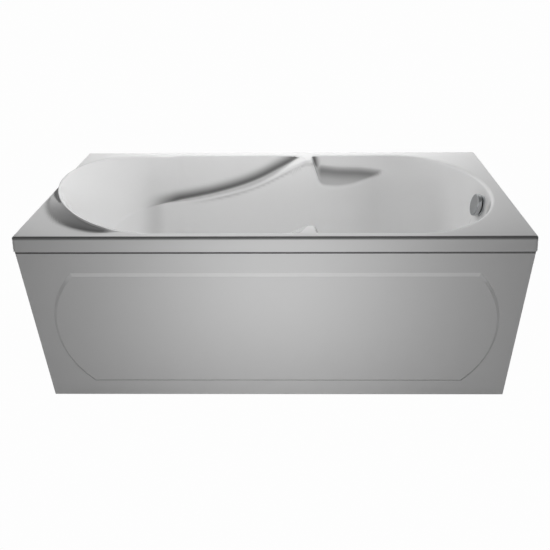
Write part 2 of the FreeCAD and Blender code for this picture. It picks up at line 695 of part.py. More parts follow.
def field(behind):
    """The raised field as a full body; behind moves it in by the panel's own wall."""
    y = PANEL_Y + behind
    base = y + (FIT if behind == 0.0 else PANEL_T)
    wires = [field_wire(behind * 0.5, base), field_wire(behind * 0.5, y),
             field_wire(behind * 0.5 + FIELD_BEVEL, y - FIELD_RAISE)]
    return Part.makeLoft(wires, True, True)


def front_panel():
    """A formed sheet with a raised field and returned edges, screwed at its foot."""
    back = PANEL_Y + PANEL_END_FLANGE
    outer = box(-PANEL_HALF, PANEL_HALF, PANEL_Y, back, PANEL_FLOOR_GAP, PANEL_TOP)
    corners = [e for e in outer.Edges if all(abs(v.Y - PANEL_Y) < 0.01 for v in e.Vertexes)]
    outer = outer.makeFillet(PANEL_CORNER_R, corners)
    inner = box(-PANEL_HALF + PANEL_T, PANEL_HALF - PANEL_T, PANEL_Y + PANEL_T, back + 1,
                PANEL_FLOOR_GAP + PANEL_T, PANEL_TOP - PANEL_T)
    trim = box(-PANEL_HALF + PANEL_T, PANEL_HALF - PANEL_T, PANEL_Y + PANEL_FLANGE, back + 1,
               PANEL_FLOOR_GAP - 1, PANEL_TOP + 1)
    panel = outer.fuse(field(0.0)).cut(field(PANEL_T)).cut(inner).cut(trim)
    for x, y in panel_screw_places():
        top = PANEL_FLOOR_GAP + PANEL_T + 1
        panel = panel.cut(rod(x, y, PANEL_FLOOR_GAP - 1, top, SMALL_SCREW_R + RUNNING))
    return panel


def panel_screw_places():
    return [(sx * BAR_X, PANEL_Y + PANEL_FLANGE * 0.6) for sx in (-1, 1)]


def panel_bracket(x, y):
    """An angled steel strip from the end of a cross bar down to the foot of the panel."""
    seat = PANEL_FLOOR_GAP + PANEL_T
    upright = box(x - TUBE / 2, x + TUBE / 2, -BAR_HALF - STRIP, -BAR_HALF, seat, BAR_TOP)
    tab = box(x - TUBE / 2, x + TUBE / 2, PANEL_Y + PANEL_T + FIT, -BAR_HALF, seat, seat + STRIP)
    hole = rod(x, y, seat - 1, seat + STRIP + 1, SMALL_SCREW_R + RUNNING)
    return fused([upright, tab]).cut(hole)


def panel_screws():
    screws = []
    for x, y in panel_screw_places():
        head = rod(x, y, PANEL_FLOOR_GAP - SCREW_HEAD_T, PANEL_FLOOR_GAP, 1.6 * SCREW_R)
        tip = PANEL_FLOOR_GAP + PANEL_T + 3 * STRIP
        screws.append(head.fuse(rod(x, y, PANEL_FLOOR_GAP, tip, SMALL_SCREW_R)))
    return Part.makeCompound(screws)


def panel_clip(x):
    """A folded strip: its leaf is screwed to the front batten, its tongue carries the panel."""
    leaf_y = FRONT_IN + BATTEN_T
    under = PANEL_TOP - PANEL_T
    leaf = box(x - CLIP_W / 2, x + CLIP_W / 2, leaf_y, leaf_y + STRIP, under - STRIP, UNDER_RIM - SHEET)
    front = PANEL_Y + PANEL_T + FIT
    tongue = box(x - CLIP_W / 2, x + CLIP_W / 2, front, leaf_y + STRIP, under - STRIP, under)
    clip = fused([leaf, tongue])
    for sx in side_screw_places(-1):
        if abs(sx - x) < CLIP_W / 2:
            clip = clip.cut(side_screw(sx, -1, RUNNING))
    return clip


def wall_bracket(x):
    """A Z-shaped strip: its upper leaf is screwed to the back batten, its lower leaf to the wall."""
    leaf_y = BACK_IN - BATTEN_T
    step_z = SKIRT_Z - 2 * PANEL_TOP_GAP
    x0, x1 = x - BRACKET_W / 2, x + BRACKET_W / 2
    upper = box(x0, x1, leaf_y - STRIP, leaf_y, step_z - STRIP, UNDER_RIM - SHEET)
    step = box(x0, x1, leaf_y - STRIP, HALF_W, step_z - STRIP, step_z)
    lower = box(x0, x1, HALF_W - STRIP, HALF_W, step_z - BRACKET_DROP, step_z)
    bracket = fused([upper, step, lower])
    for dx in (-WALL_HOLE_GAP / 2, WALL_HOLE_GAP / 2):
        start = Vector(x + dx, HALF_W - 2 * STRIP, step_z - BRACKET_DROP / 2)
        bracket = bracket.cut(Part.makeCylinder(WALL_HOLE_R, 3 * STRIP, start, Vector(0, 1, 0)))
    for sx in side_screw_places(1):
        if abs(sx - x) < BRACKET_W / 2:
            bracket = bracket.cut(side_screw(sx, 1, RUNNING))
    return bracket


# ---- overflow: on its own axis, +Z into the bowl, 0 at the wall ----------------------------------

FLANGE_BACK = -SHEET - PAD_T                  # dry face of the wall pad
BODY_FRONT = FLANGE_BACK - SEAL_T
BODY_BACK = BODY_FRONT - BODY_DEPTH
KNOB_BACK = FLANGE_T + KNOB_GAP
KNOB_FACE = KNOB_BACK + KNOB_DEPTH


def overflow_flange():
    sleeve = OVERFLOW_HOLE_R - FIT
    bore = sleeve - KNOB_SHELL
    ring_part = turned([(bore, FLANGE_T), (FLANGE_R - 2, FLANGE_T), (FLANGE_R, FLANGE_T - 2), (FLANGE_R, 0),
                        (sleeve, 0), (sleeve, BODY_FRONT - SHEET), (bore, BODY_FRONT - SHEET)])
    spokes = box(-SPOKE_W / 2, SPOKE_W / 2, -bore - 1, bore + 1, 0, SPOKE_T)
    bush = rod(0, 0, 0, SPOKE_T, 2 * SPINDLE_R)
    flange = fused([ring_part, spokes, bush]).cut(rod(0, 0, -1, FLANGE_T, SPINDLE_R + RUNNING))
    for y in (-FLANGE_SCREW_Y, FLANGE_SCREW_Y):
        flange = flange.cut(rod(0, y, -1, FLANGE_T, FLANGE_SCREW_R + RUNNING))
    return placed(flange)


def overflow_seal():
    return placed(ring(0, 0, BODY_FRONT, FLANGE_BACK, FLANGE_R - 1, OVERFLOW_HOLE_R))


def overflow_knob():
    cap = rod(0, 0, KNOB_BACK, KNOB_FACE, KNOB_R)
    rim_edges = [e for e in cap.Edges if abs(e.BoundBox.ZMin - KNOB_FACE) < 0.01]
    cap = cap.makeFillet(KNOB_SHELL, rim_edges)
    cap = cap.cut(rod(0, 0, KNOB_BACK - 1, KNOB_FACE - KNOB_SHELL, KNOB_R - KNOB_SHELL))
    hub = rod(0, 0, KNOB_BACK, KNOB_FACE - KNOB_SHELL, 2 * SPINDLE_R)
    bore = rod(0, 0, KNOB_BACK - 1, KNOB_FACE - 2 * KNOB_SHELL, SPINDLE_R + RUNNING)
    return placed(cap.fuse(hub).cut(bore))


def knob_spindle():
    """The spindle that the knob turns, with the drum that pulls the cable."""
    shaft = rod(0, 0, BODY_BACK + 2 * KNOB_SHELL, KNOB_FACE - 2 * KNOB_SHELL, SPINDLE_R)
    drum = rod(0, 0, BODY_FRONT - BODY_DEPTH * 0.5, BODY_FRONT - BODY_DEPTH * 0.3, DRUM_R)
    return placed(shaft.fuse(drum))


def flange_screws():
    screws = []
    for y in (-FLANGE_SCREW_Y, FLANGE_SCREW_Y):
        head = rod(0, y, SPOKE_T, SPOKE_T + 1.5, 1.8 * FLANGE_SCREW_R)
        shank = rod(0, y, BODY_BACK + BODY_DEPTH * 0.25, SPOKE_T, FLANGE_SCREW_R)
        screws.append(placed(head.fuse(shank)))
    return Part.makeCompound(screws)


def outlet_x():
    """Where the hose hangs from the overflow body."""
    middle = overflow_place().multVec(Vector(0, 0, BODY_FRONT - BODY_DEPTH * 0.55))
    return middle.x


def overflow_body():
    """The cup behind the wall, with its outlet, its screw bosses and the cable gland."""
    wall = KNOB_SHELL
    cup = rod(0, 0, BODY_BACK, BODY_FRONT - wall, BODY_R)
    cup = placed(cup.fuse(rod(0, 0, BODY_FRONT - wall, BODY_FRONT, FLANGE_R - 1)))
    inside = placed(rod(0, 0, BODY_BACK + wall, BODY_FRONT + 1, BODY_R - wall))
    spout = rod(outlet_x(), 0, HOSE_TOP, OVERFLOW_Z - BODY_R / 2, HOSE_ROOT_R)
    gland = rod(outlet_x(), CABLE_Y, HOSE_TOP, OVERFLOW_Z - BODY_R / 4, GLAND_R)
    body = cup.fuse(spout).fuse(gland).cut(inside)
    body = body.cut(rod(outlet_x(), 0, HOSE_TOP - 1, OVERFLOW_Z, HOSE_BORE_R))
    body = body.cut(rod(outlet_x(), CABLE_Y, HOSE_TOP - 1, OVERFLOW_Z - BODY_R / 2 - wall, CABLE_R + FIT))
    bosses = [rod(0, y, BODY_BACK + wall - 1, BODY_BACK + BODY_DEPTH * 0.3 + wall, 2 * FLANGE_SCREW_R)
              for y in (-FLANGE_SCREW_Y, FLANGE_SCREW_Y)]
    bosses.append(rod(0, 0, BODY_BACK + wall - 1, BODY_BACK + BODY_DEPTH * 0.3, 1.8 * SPINDLE_R))
    body = body.fuse(placed(bosses[0].multiFuse(bosses[1:])))
    holes = [rod(0, y, BODY_BACK + wall, 0, FLANGE_SCREW_R + RUNNING)
             for y in (-FLANGE_SCREW_Y, FLANGE_SCREW_Y)]
    holes.append(rod(0, 0, BODY_BACK + 2 * wall - FIT, 0, SPINDLE_R + RUNNING))
    for hole in holes:
        body = body.cut(placed(hole))
    return body


# ---- hose and cable from the overflow to the waste ----------------------------------------------

def bend_route(y, end_x):
    """Down from the overflow, round one bend and level to the waste: start, turn centre, end."""
    x = outlet_x()
    start = Vector(x, y, HOSE_TOP)
    centre = Vector(x - HOSE_BEND_R, y, HOSE_Z + HOSE_BEND_R)
    return start, centre, Vector(end_x, y, HOSE_Z)


def route_wire(y, end_x):
    start, centre, end = bend_route(y, end_x)
    first = Vector(start.x, y, centre.z)
    half = HOSE_BEND_R * math.sqrt(0.5)
    middle = Vector(centre.x + half, y, centre.z - half)
    last = Vector(centre.x, y, end.z)
    return Part.Wire([Part.LineSegment(start, first).toShape(), Part.Arc(first, middle, last).toShape(),
                      Part.LineSegment(last, end).toShape()])


def pipe_along(y, end_x, radius):
    start = bend_route(y, end_x)[0]
    circle = Part.Wire(Part.Circle(start, Vector(0, 0, -1), radius).toShape())
    return route_wire(y, end_x).makePipeShell([circle], True, False)


def route_frame(y, end_x, along):
    """The place and direction of the route at a distance from its start."""
    start, centre, end = bend_route(y, end_x)
    drop = start.z - centre.z
    bend = HOSE_BEND_R * math.pi / 2
    if along <= drop:
        return Vector(start.x, y, start.z - along), 0.0
    if along <= drop + bend:
        turn = (along - drop) / HOSE_BEND_R
        return centre + Vector(HOSE_BEND_R * math.cos(turn), 0, -HOSE_BEND_R * math.sin(turn)), turn
    return Vector(centre.x - (along - drop - bend), y, end.z), math.pi / 2


def overflow_hose():
    """A ribbed hose with a plain bore and plain cuffs."""
    end_x = WASTE_X + INLET_LENGTH
    start, centre, end = bend_route(0.0, end_x)
    length = (start.z - centre.z) + HOSE_BEND_R * math.pi / 2 + (centre.x - end.x)
    cuff = 2 * HOSE_ROOT_R
    count = int((length - 2 * cuff) / HOSE_RIB_PITCH)
    pitch = (length - 2 * cuff) / count
    stations = [(0.0, HOSE_ROOT_R), (cuff, HOSE_ROOT_R)]
    for k in range(count):
        at = cuff + k * pitch
        stations += [(at + pitch * f, r) for f, r in (
            (0.25, HOSE_ROOT_R), (0.4, HOSE_RIB_R), (0.85, HOSE_RIB_R), (1.0, HOSE_ROOT_R))]
    stations.append((length, HOSE_ROOT_R))
    wires = []
    for along, radius in stations:
        place, turn = route_frame(0.0, end_x, along)
        circle = Part.Wire(Part.Circle(Vector(0, 0, 0), Vector(0, 0, 1), radius).toShape())
        circle.Placement = Placement(place, Rotation(Vector(0, 1, 0), math.degrees(turn)))
        wires.append(circle)
    hose = Part.makeLoft(wires, True, True)
    print("hose length", round(length, 1), "ribs", count, "bend radius", HOSE_BEND_R)
    return hose.cut(pipe_along(0.0, end_x, HOSE_BORE_R))


def hose_nuts():
    bore = HOSE_ROOT_R + RUNNING
    half = HOSE_NUT_LENGTH / 2
    upper = ring(outlet_x(), 0, HOSE_TOP - half, HOSE_TOP + half, HOSE_NUT_R, bore)
    place = Placement(Vector(WASTE_X + INLET_LENGTH, 0, HOSE_Z), Rotation(Vector(0, 1, 0), 90))
    lower = ring(0, 0, -half, half, HOSE_NUT_R, bore)
    lower.Placement = place
    return Part.makeCompound([upper, lower])


def control_cable():
    end_x = WASTE_X + GLAND_LENGTH
    length = route_wire(CABLE_Y, end_x).Length
    cable = pipe_along(CABLE_Y, end_x, CABLE_R)
    print("cable length", round(length, 1), "volume over section x length",
          round(cable.Volume / (math.pi * CABLE_R ** 2 * length), 4))
    return cable


# ---- waste and trap --------------------------------------------------------------------------------

def at_waste(shape):
    moved = shape.copy()
    moved.translate(Vector(WASTE_X, 0, 0))
    return moved


def waste_flange():
    """The chrome flange in the floor, with the spider that guides the stem."""
    tail = WASTE_BORE_R - RUNNING
    throat = tail - TAIL_WALL
    low = UNDER_Z - TAIL_LENGTH
    profile = [(throat, low), (tail, low), (tail, FLOOR_Z), (WASTE_FLANGE_R, FLOOR_Z),
               (WASTE_FLANGE_R - 1, FLOOR_Z + 2), (PLUG_R, WASTE_TOP), (throat + 3, WASTE_TOP - 1.5),
               (throat, WASTE_TOP - 4)]
    arms = [box(-throat - 1, throat + 1, -1.5, 1.5, low, low + STEM_R),
            box(-1.5, 1.5, -throat - 1, throat + 1, low, low + STEM_R)]
    bush = rod(0, 0, low, low + 2 * STEM_R, 1.6 * STEM_R)
    flange = fused([turned(profile)] + arms + [bush])
    return at_waste(flange.cut(rod(0, 0, low - 1, WASTE_TOP, STEM_R + RUNNING)))


def waste_plug():
    """The pop-up plug: a domed cap on a boss and a stem."""
    low = WASTE_TOP + FIT
    boss = WASTE_BORE_R - TAIL_WALL - PLUG_SEAL_W
    boss_z = UNDER_Z - 1
    return at_waste(turned([(0, PLUG_FOOT), (STEM_R, PLUG_FOOT), (STEM_R, boss_z), (boss - 1, boss_z),
                            (boss - 1, boss_z + 1), (boss - 1, low), (PLUG_R, low), (PLUG_R, low + 1.5),
                            (PLUG_R * 0.9, low + 3), (PLUG_R * 0.6, low + 4.4), (PLUG_R * 0.3, low + 5.1),
                            (0, low + 5.3)]))


def plug_seal():
    boss = WASTE_BORE_R - TAIL_WALL - PLUG_SEAL_W - 1
    outer = WASTE_BORE_R - TAIL_WALL - RUNNING - FIT
    return at_waste(ring(0, 0, UNDER_Z + 1, UNDER_Z + 4, outer, boss))


def plug_lifter():
    """The cup under the stem that the end of the cable pushes up."""
    return at_waste(turned([(0, PLUG_FOOT - 4), (LIFTER_R, PLUG_FOOT - 4), (LIFTER_R, PLUG_FOOT),
                            (LIFTER_R - 2, PLUG_FOOT + 3), (STEM_R + RUNNING, PLUG_FOOT + 3),
                            (STEM_R + RUNNING, PLUG_FOOT), (0, PLUG_FOOT)]))


def waste_seal():
    return at_waste(ring(0, 0, UNDER_Z - SEAL_T, UNDER_Z, WASTE_FLANGE_R, WASTE_HOLE_R))


def waste_body():
    """The tube under the floor, with the inlet of the overflow and the cable gland."""
    outer = WASTE_BORE_R + PIPE_WALL
    top = UNDER_Z - SEAL_T
    tube = rod(WASTE_X, 0, WASTE_FOOT, top, outer)
    tube = tube.fuse(rod(WASTE_X, 0, top - PIPE_WALL, top, WASTE_FLANGE_R))
    inlet = Part.makeCylinder(HOSE_ROOT_R, INLET_LENGTH, Vector(WASTE_X, 0, HOSE_Z), Vector(1, 0, 0))
    gland = Part.makeCylinder(GLAND_R, GLAND_LENGTH, Vector(WASTE_X, CABLE_Y, HOSE_Z), Vector(1, 0, 0))
    body = tube.fuse(inlet).fuse(gland)
    body = body.cut(rod(WASTE_X, 0, WASTE_FOOT - 1, top + 1, WASTE_BORE_R))
    way = Part.makeCylinder(HOSE_BORE_R, INLET_LENGTH + 1, Vector(WASTE_X, 0, HOSE_Z), Vector(1, 0, 0))
    mouth = Vector(WASTE_X + GLAND_LENGTH / 2, CABLE_Y, HOSE_Z)
    socket = Part.makeCylinder(CABLE_R + FIT, GLAND_LENGTH, mouth, Vector(1, 0, 0))
    return body.cut(way).cut(socket)


def trap_nut():
    outer = WASTE_BORE_R + PIPE_WALL + RUNNING
    half = TRAP_NUT_H / 2
    body = hexagon(WASTE_X, 0, WASTE_FOOT - half, WASTE_FOOT + half, 2 * (outer + PIPE_WALL + 3))
    return body.cut(rod(WASTE_X, 0, WASTE_FOOT - half - 1, WASTE_FOOT + half + 1, outer))


def trap_body():
    """The upper half of the bottle trap: collar, dip tube, bell and outlet."""
    outer = WASTE_BORE_R + PIPE_WALL
    collar = rod(WASTE_X, 0, TRAP_TOP - PIPE_WALL, WASTE_FOOT, outer)
    bell = rod(WASTE_X, 0, TRAP_LIP, TRAP_TOP, TRAP_R)
    reach, width, height = PIPE_STOP
    stop = TRAP_R + reach
    end = stop + PIPE_FREE
    body = bell.fuse(collar)
    for radius, low, high in ((PIPE_R - PIPE_NECK, 0, stop), (PIPE_R + height, stop - width, stop),
                              (PIPE_R, stop, end)):
        start = Vector(WASTE_X, low, PIPE_Z)
        body = body.fuse(Part.makeCylinder(radius, high - low, start, Vector(0, 1, 0)))
    body = body.cut(rod(WASTE_X, 0, TRAP_LIP - 1, TRAP_TOP - PIPE_WALL, TRAP_R - PIPE_WALL))
    start = Vector(WASTE_X, 1, PIPE_Z)
    body = body.cut(Part.makeCylinder(PIPE_R - PIPE_WALL, end, start, Vector(0, 1, 0)))
    dip = rod(WASTE_X, 0, TRAP_LIP, TRAP_TOP - 1, DIP_R)
    body = body.fuse(dip)
    return body.cut(rod(WASTE_X, 0, TRAP_LIP - 1, WASTE_FOOT + 1, DIP_R - PIPE_WALL))


def trap_cup():
    """The lower half of the trap, unscrewed to clean it, with grip ribs."""
    bore = TRAP_R + RUNNING
    outer = bore + PIPE_WALL
    top = TRAP_LIP + CUP_LAP
    cup = turned([(0, TRAP_FLOOR), (outer * 0.7, TRAP_FLOOR), (outer, TRAP_FLOOR + 10), (outer, top),
                  (bore, top), (bore, TRAP_FLOOR + 14), (outer * 0.6, TRAP_FLOOR + PIPE_WALL),
                  (0, TRAP_FLOOR + PIPE_WALL)])
    for k in range(CUP_RIBS):
        rib = box(outer - 1, outer + 2, -2, 2, TRAP_FLOOR + 11, TRAP_LIP + CUP_LAP - 2)
        rib.rotate(Vector(0, 0, 0), Vector(0, 0, 1), 360.0 * k / CUP_RIBS)
        cup = cup.fuse(rib)
    return at_waste(cup)


# ---- every piece by name -----------------------------------------------------------------------------

def pieces():
    """Builds each piece in turn and gives it with its name."""
    yield "tub_shell", tub_shell()
    yield "base_board", base_board()
    yield "rim_batten_front", rim_batten(-1)
    yield "rim_batten_back", rim_batten(1)
    yield "corner_blocks", Part.makeCompound([rim_block(x, side) for x, side in post_places().values()])
    yield "long_rail_front", long_rail(-1)
    yield "long_rail_back", long_rail(1)
    yield "cross_bar_left", cross_bar(-BAR_X, BAR_HALF)
    yield "cross_bar_centre", cross_bar(CENTRE_BAR_X, RAIL_Y + RAIL_W / 2)
    yield "cross_bar_right", cross_bar(BAR_X, BAR_HALF)
    for name, (x, side) in post_places().items():
        yield f"corner_post_{name}", corner_post(x, side)
    yield "tube_end_caps", tube_end_caps()
    yield "post_bolts", post_bolts()
    yield "block_screws", block_screws()
    yield "board_screws", board_screws()
    yield "adjuster_nuts", adjuster_nuts()
    for name, (x, y) in foot_places().items():
        yield f"foot_rod_{name}", foot_rod(x, y)
        yield f"foot_pad_{name}", foot_pad(x, y)
    yield "front_panel", front_panel()
    yield "panel_clips", Part.makeCompound([panel_clip(x) for x in CLIP_X])
    yield "clip_screws", side_screws(-1)
    yield "panel_brackets", Part.makeCompound([panel_bracket(x, y) for x, y in panel_screw_places()])
    yield "panel_screws", panel_screws()
    yield "wall_brackets", Part.makeCompound([wall_bracket(x) for x in (-BRACKET_X, BRACKET_X)])
    yield "bracket_screws", side_screws(1)
    yield "overflow_flange", overflow_flange()
    yield "overflow_knob", overflow_knob()
    yield "knob_spindle", knob_spindle()
    yield "overflow_seal", overflow_seal()
    yield "overflow_body", overflow_body()
    yield "flange_screws", flange_screws()
    yield "overflow_hose", overflow_hose()
    yield "hose_nuts", hose_nuts()
    yield "control_cable", control_cable()
    yield "waste_flange", waste_flange()
    yield "waste_plug", waste_plug()
    yield "plug_seal", plug_seal()
    yield "plug_lifter", plug_lifter()
    yield "waste_seal", waste_seal()
    yield "waste_body", waste_body()
    yield "trap_nut", trap_nut()
    yield "trap_body", trap_body()
    yield "trap_cup", trap_cup()


def main():
    os.makedirs("parts", exist_ok=True)
    for name, shape in pieces():
        solids = shape.Solids
        piece = solids[0] if len(solids) == 1 else Part.makeCompound(solids)
        if not piece.isValid():
            print("invalid", name)
        piece.exportStep(f"parts/{name}.step")
        print(name, len(solids), round(sum(s.Volume for s in solids) / 1000, 1))


if __name__ == "__main__":
    main()
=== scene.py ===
import math

import bmesh
import bpy
import numpy as np
from mathutils import Matrix, Vector


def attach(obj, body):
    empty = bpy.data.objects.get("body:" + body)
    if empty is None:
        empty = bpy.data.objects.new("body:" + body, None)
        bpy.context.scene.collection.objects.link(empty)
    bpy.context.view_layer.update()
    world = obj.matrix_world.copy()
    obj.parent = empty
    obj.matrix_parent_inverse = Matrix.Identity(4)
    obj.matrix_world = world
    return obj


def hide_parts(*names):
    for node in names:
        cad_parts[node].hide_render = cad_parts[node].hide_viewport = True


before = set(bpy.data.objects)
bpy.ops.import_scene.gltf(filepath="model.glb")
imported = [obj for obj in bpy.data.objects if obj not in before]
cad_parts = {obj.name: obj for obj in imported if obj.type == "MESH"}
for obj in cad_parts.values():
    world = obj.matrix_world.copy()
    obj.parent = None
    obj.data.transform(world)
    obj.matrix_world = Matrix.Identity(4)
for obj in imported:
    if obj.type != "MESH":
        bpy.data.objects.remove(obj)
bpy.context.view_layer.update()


# ---- camera -----------------------------------------------------------------------------------
# Solved from the tub's straight edges in the photograph. Its principal point lies off the middle
# of the frame, which the shift makes up for.

photo_px = 550
focal_px = 569.78
principal_px = (294.86, 254.19)
sensor_mm = 36
camera_place = (0.0738, -1.759, 1.3569)
yaw, pitch, roll = math.radians(-0.618), math.radians(29.87), math.radians(-0.379)
forward = Vector((math.sin(yaw) * math.cos(pitch), math.cos(yaw) * math.cos(pitch), -math.sin(pitch)))
level = Vector((math.cos(yaw), -math.sin(yaw), 0))
upward = level.cross(forward)
right = level * math.cos(roll) + upward * math.sin(roll)
up = upward * math.cos(roll) - level * math.sin(roll)
camera = bpy.data.objects.new("camera", bpy.data.cameras.new("camera"))
camera.data.sensor_width = sensor_mm
camera.data.lens = sensor_mm * focal_px / photo_px
camera.data.shift_x = (photo_px / 2 - principal_px[0]) / photo_px
camera.data.shift_y = (principal_px[1] - photo_px / 2) / photo_px
turn = Matrix((right, up, -forward)).transposed().to_4x4()
camera.matrix_world = Matrix.Translation(camera_place) @ turn
bpy.context.collection.objects.link(camera)
bpy.context.scene.camera = camera
bpy.context.scene.view_settings.view_transform = "Standard"


# ---- light and surroundings -------------------------------------------------------------------
# A white studio: the camera sees plain white, polished faces see a bright horizon under a darker
# ceiling, and the rest gets an even light that is stronger from above. Soft lamps that leave no
# glint hang over the bowl and its back rim, and stand before the panel and low on the other sides.

backdrop_white = 0.985


class Socket:
    """A node's output, wrapped so that shader maths reads as arithmetic."""

    def __init__(self, tree, out):
        self.tree = tree
        self.out = out

    @classmethod
    def node(cls, tree, kind, values=None, output=0, **settings):
        """Makes a node, with its settings first and then the values or links of its sockets."""
        made = tree.nodes.new(kind)
        for name, value in settings.items():
            setattr(made, name, value)
        for slot, value in (values or {}).items():
            if isinstance(value, Socket):
                tree.links.new(value.out, made.inputs[slot])
            else:
                made.inputs[slot].default_value = value
        return cls(tree, made.outputs[output]) if made.outputs else None

    def math(self, operation, *inputs):
        return self.node(self.tree, "ShaderNodeMath", dict(enumerate(inputs)), operation=operation)

    def __add__(self, other):
        return self.math("ADD", self, other)

    def __radd__(self, other):
        return self.math("ADD", other, self)

    def __sub__(self, other):
        return self.math("SUBTRACT", self, other)

    def __rsub__(self, other):
        return self.math("SUBTRACT", other, self)

    def __mul__(self, other):
        return self.math("MULTIPLY", self, other)

    def __rmul__(self, other):
        return self.math("MULTIPLY", other, self)

    def ramp(self, low, high, first, last):
        """Maps low..high to first..last smoothly, held at both ends."""
        values = dict(enumerate((self, low, high, first, last)))
        return self.node(self.tree, "ShaderNodeMapRange", values, interpolation_type="SMOOTHSTEP")

    def part(self, axis):
        """The X, Y or Z of a vector."""
        return self.node(self.tree, "ShaderNodeSeparateXYZ", {0: self}, axis)

    def noise(self, scale, detail):
        """Noise over a place, from 0 to 1."""
        values = {"Vector": self, "Scale": scale, "Detail": detail}
        return self.node(self.tree, "ShaderNodeTexNoise", values)

    def between(self, first, last):
        """A colour from first to last as this goes from 0 to 1."""
        values = {"Factor": self, "A": (*first, 1.0), "B": (*last, 1.0)}
        return self.node(self.tree, "ShaderNodeMix", values, "Result", data_type="RGBA")

    def dimmed(self, painted_light):
        """A colour times a share from 0 to 1, which paints light and shade into it."""
        return self.node(self.tree, "ShaderNodeVectorMath", {0: self, 1: painted_light}, operation="MULTIPLY")


world = bpy.data.worlds.new("studio")
world.use_nodes = True
bpy.context.scene.world = world
tree = world.node_tree
tree.nodes.clear()
seen = Socket.node(tree, "ShaderNodeLightPath", output="Is Camera Ray")
glossy = Socket.node(tree, "ShaderNodeLightPath", output="Is Glossy Ray")
height = Socket.node(tree, "ShaderNodeTexCoord", output="Generated").part("Z")
mirrored = height.ramp(0.45, 0.85, 1.0, 0.25)
ambient = height.ramp(-0.2, 1.0, 0.05, 0.17)
strength = seen * backdrop_white + (1 - seen) * (glossy * mirrored + (1 - glossy) * ambient)
sky = Socket.node(tree, "ShaderNodeBackground", {"Color": (1, 1, 1, 1), "Strength": strength})
Socket.node(tree, "ShaderNodeOutputWorld", {"Surface": sky})


def lamp(name, place, target, power, length, width):
    """A soft rectangular lamp at a place, aimed at a target, in metres and watts, with no glint."""
    made = bpy.data.objects.new(name, bpy.data.lights.new(name, "AREA"))
    made.data.energy = power
    made.data.shape = "RECTANGLE"
    made.data.size = length
    made.data.size_y = width
    made.visible_camera = False
    made.visible_glossy = False
    made.location = place
    made.rotation_euler = (Vector(target) - Vector(place)).to_track_quat("-Z", "Y").to_euler()
    bpy.context.collection.objects.link(made)


lamp("front_soft_light", (0.0, -1.06, 0.6), (0, -0.3, 0.4), 2.75, 0.35, 0.35)
lamp("back_soft_light", (0.0, 0.6, 1.0), (0, 0.33, 0.6), 4.4, 1.6, 0.2)
lamp("bowl_soft_light", (-0.08, -0.2, 0.95), (-0.08, 0.2, 0.6), 2.4, 1.1, 0.1)
lamp("left_low_light", (-2.2, 0.3, 0.4), (-2.2 / 3, 0.05, 0.35), 10, 0.9, 0.5)
lamp("right_low_light", (2.2, 0.3, 0.4), (2.2 / 3, 0.05, 0.35), 10, 0.9, 0.5)
lamp("rear_low_light", (0.0, 2.2, 0.4), (0, 2.2 / 6, 0.35), 10, 0.9, 0.5)


# ---- floor ------------------------------------------------------------------------------------
# A plain pale floor under the object. The camera sees it as white as the backdrop, and to all
# other light it is a dull pale surface.

floor_half = 6.0
floor_pale = (0.75, 0.75, 0.75, 1)
mesh = bpy.data.meshes.new("floor")
corners = [(-floor_half, -floor_half, 0), (floor_half, -floor_half, 0), (floor_half, floor_half, 0),
           (-floor_half, floor_half, 0)]
mesh.from_pydata(corners, [], [(0, 1, 2, 3)])
floor = bpy.data.objects.new("floor", mesh)
bpy.context.collection.objects.link(floor)
pale = bpy.data.materials.new("pale_floor")
pale.use_nodes = True
tree = pale.node_tree
tree.nodes.clear()
seen = Socket.node(tree, "ShaderNodeLightPath", output="Is Camera Ray")
white = Socket.node(tree, "ShaderNodeEmission", {"Strength": backdrop_white})
dull = Socket.node(tree, "ShaderNodeBsdfDiffuse", {"Color": floor_pale})
both = Socket.node(tree, "ShaderNodeMixShader", {0: seen, 1: dull, 2: white})
Socket.node(tree, "ShaderNodeOutputMaterial", {"Surface": both})
mesh.materials.append(pale)


# ---- tub --------------------------------------------------------------------------------------
# The bath itself: one sheet of white acrylic with a glass-fibre backing, formed in one pull into
# the rim, the skirt, the bowl, the lip of the headrest and two mirrored armrests.
#
# It is one mesh here, in millimetres. A field says how deep a point lies in the wall, the wet face
# is where rays from above the bowl meet it, and the dry face where it reaches the thickness of the
# sheet. The rim, the lip and the skirt follow as further rows of the same grid.

half_l, half_w, rim_z, floor_z, skirt_z, sheet = 750.0, 350.0, 600.0, 180.0, 555.0, 5.0
flare, corner_r, edge_r, roll_r, lip_roll_r = 6.0, 11.0, 4.5, 10.0, 3.0

# The bowl: where its rim lies in from the tub's sides and ends, how its walls lean, its round
# foot, and the half-ovals of its ends at the rim and at its floor.
side_land, waste_land, lip_setback = 37.0, 53.0, 46.0
bowl_half, waste_tip, head_tip = half_w - side_land, half_l - waste_land, lip_setback - half_l
side_lean, waste_lean, back_lean = math.radians(4), math.radians(10), math.radians(28)
side_fillet, waste_fillet, back_fillet = 90.0, 80.0, 120.0
waste_oval, head_oval = (287.0, 150.0), (275.0, 130.0)

# Each side comes in at the headrest. The wave that this leaves in the wall starts at narrow_x
# near the rim. Lower down it is longer, and starts nearer the head.
head_narrow, narrow_x, narrow_run = 13.0, -430.0, 50.0
wave_back, wave_longer, wave_z, wave_rise = 90.0, 180.0, 430.0, 130.0

# The lip: its crest rises from the rim at lip_end, and its foot is an oval round the head.
lip_rise, lip_end, lip_run, lip_bow = 42.0, -440.0, 266.0, 1.08
foot_x, foot_long, foot_half = -490.0, 252.0, 308.0
crest_flat, least_flank, flank_hollow = 1.5, 3.0, 1 / 2.2

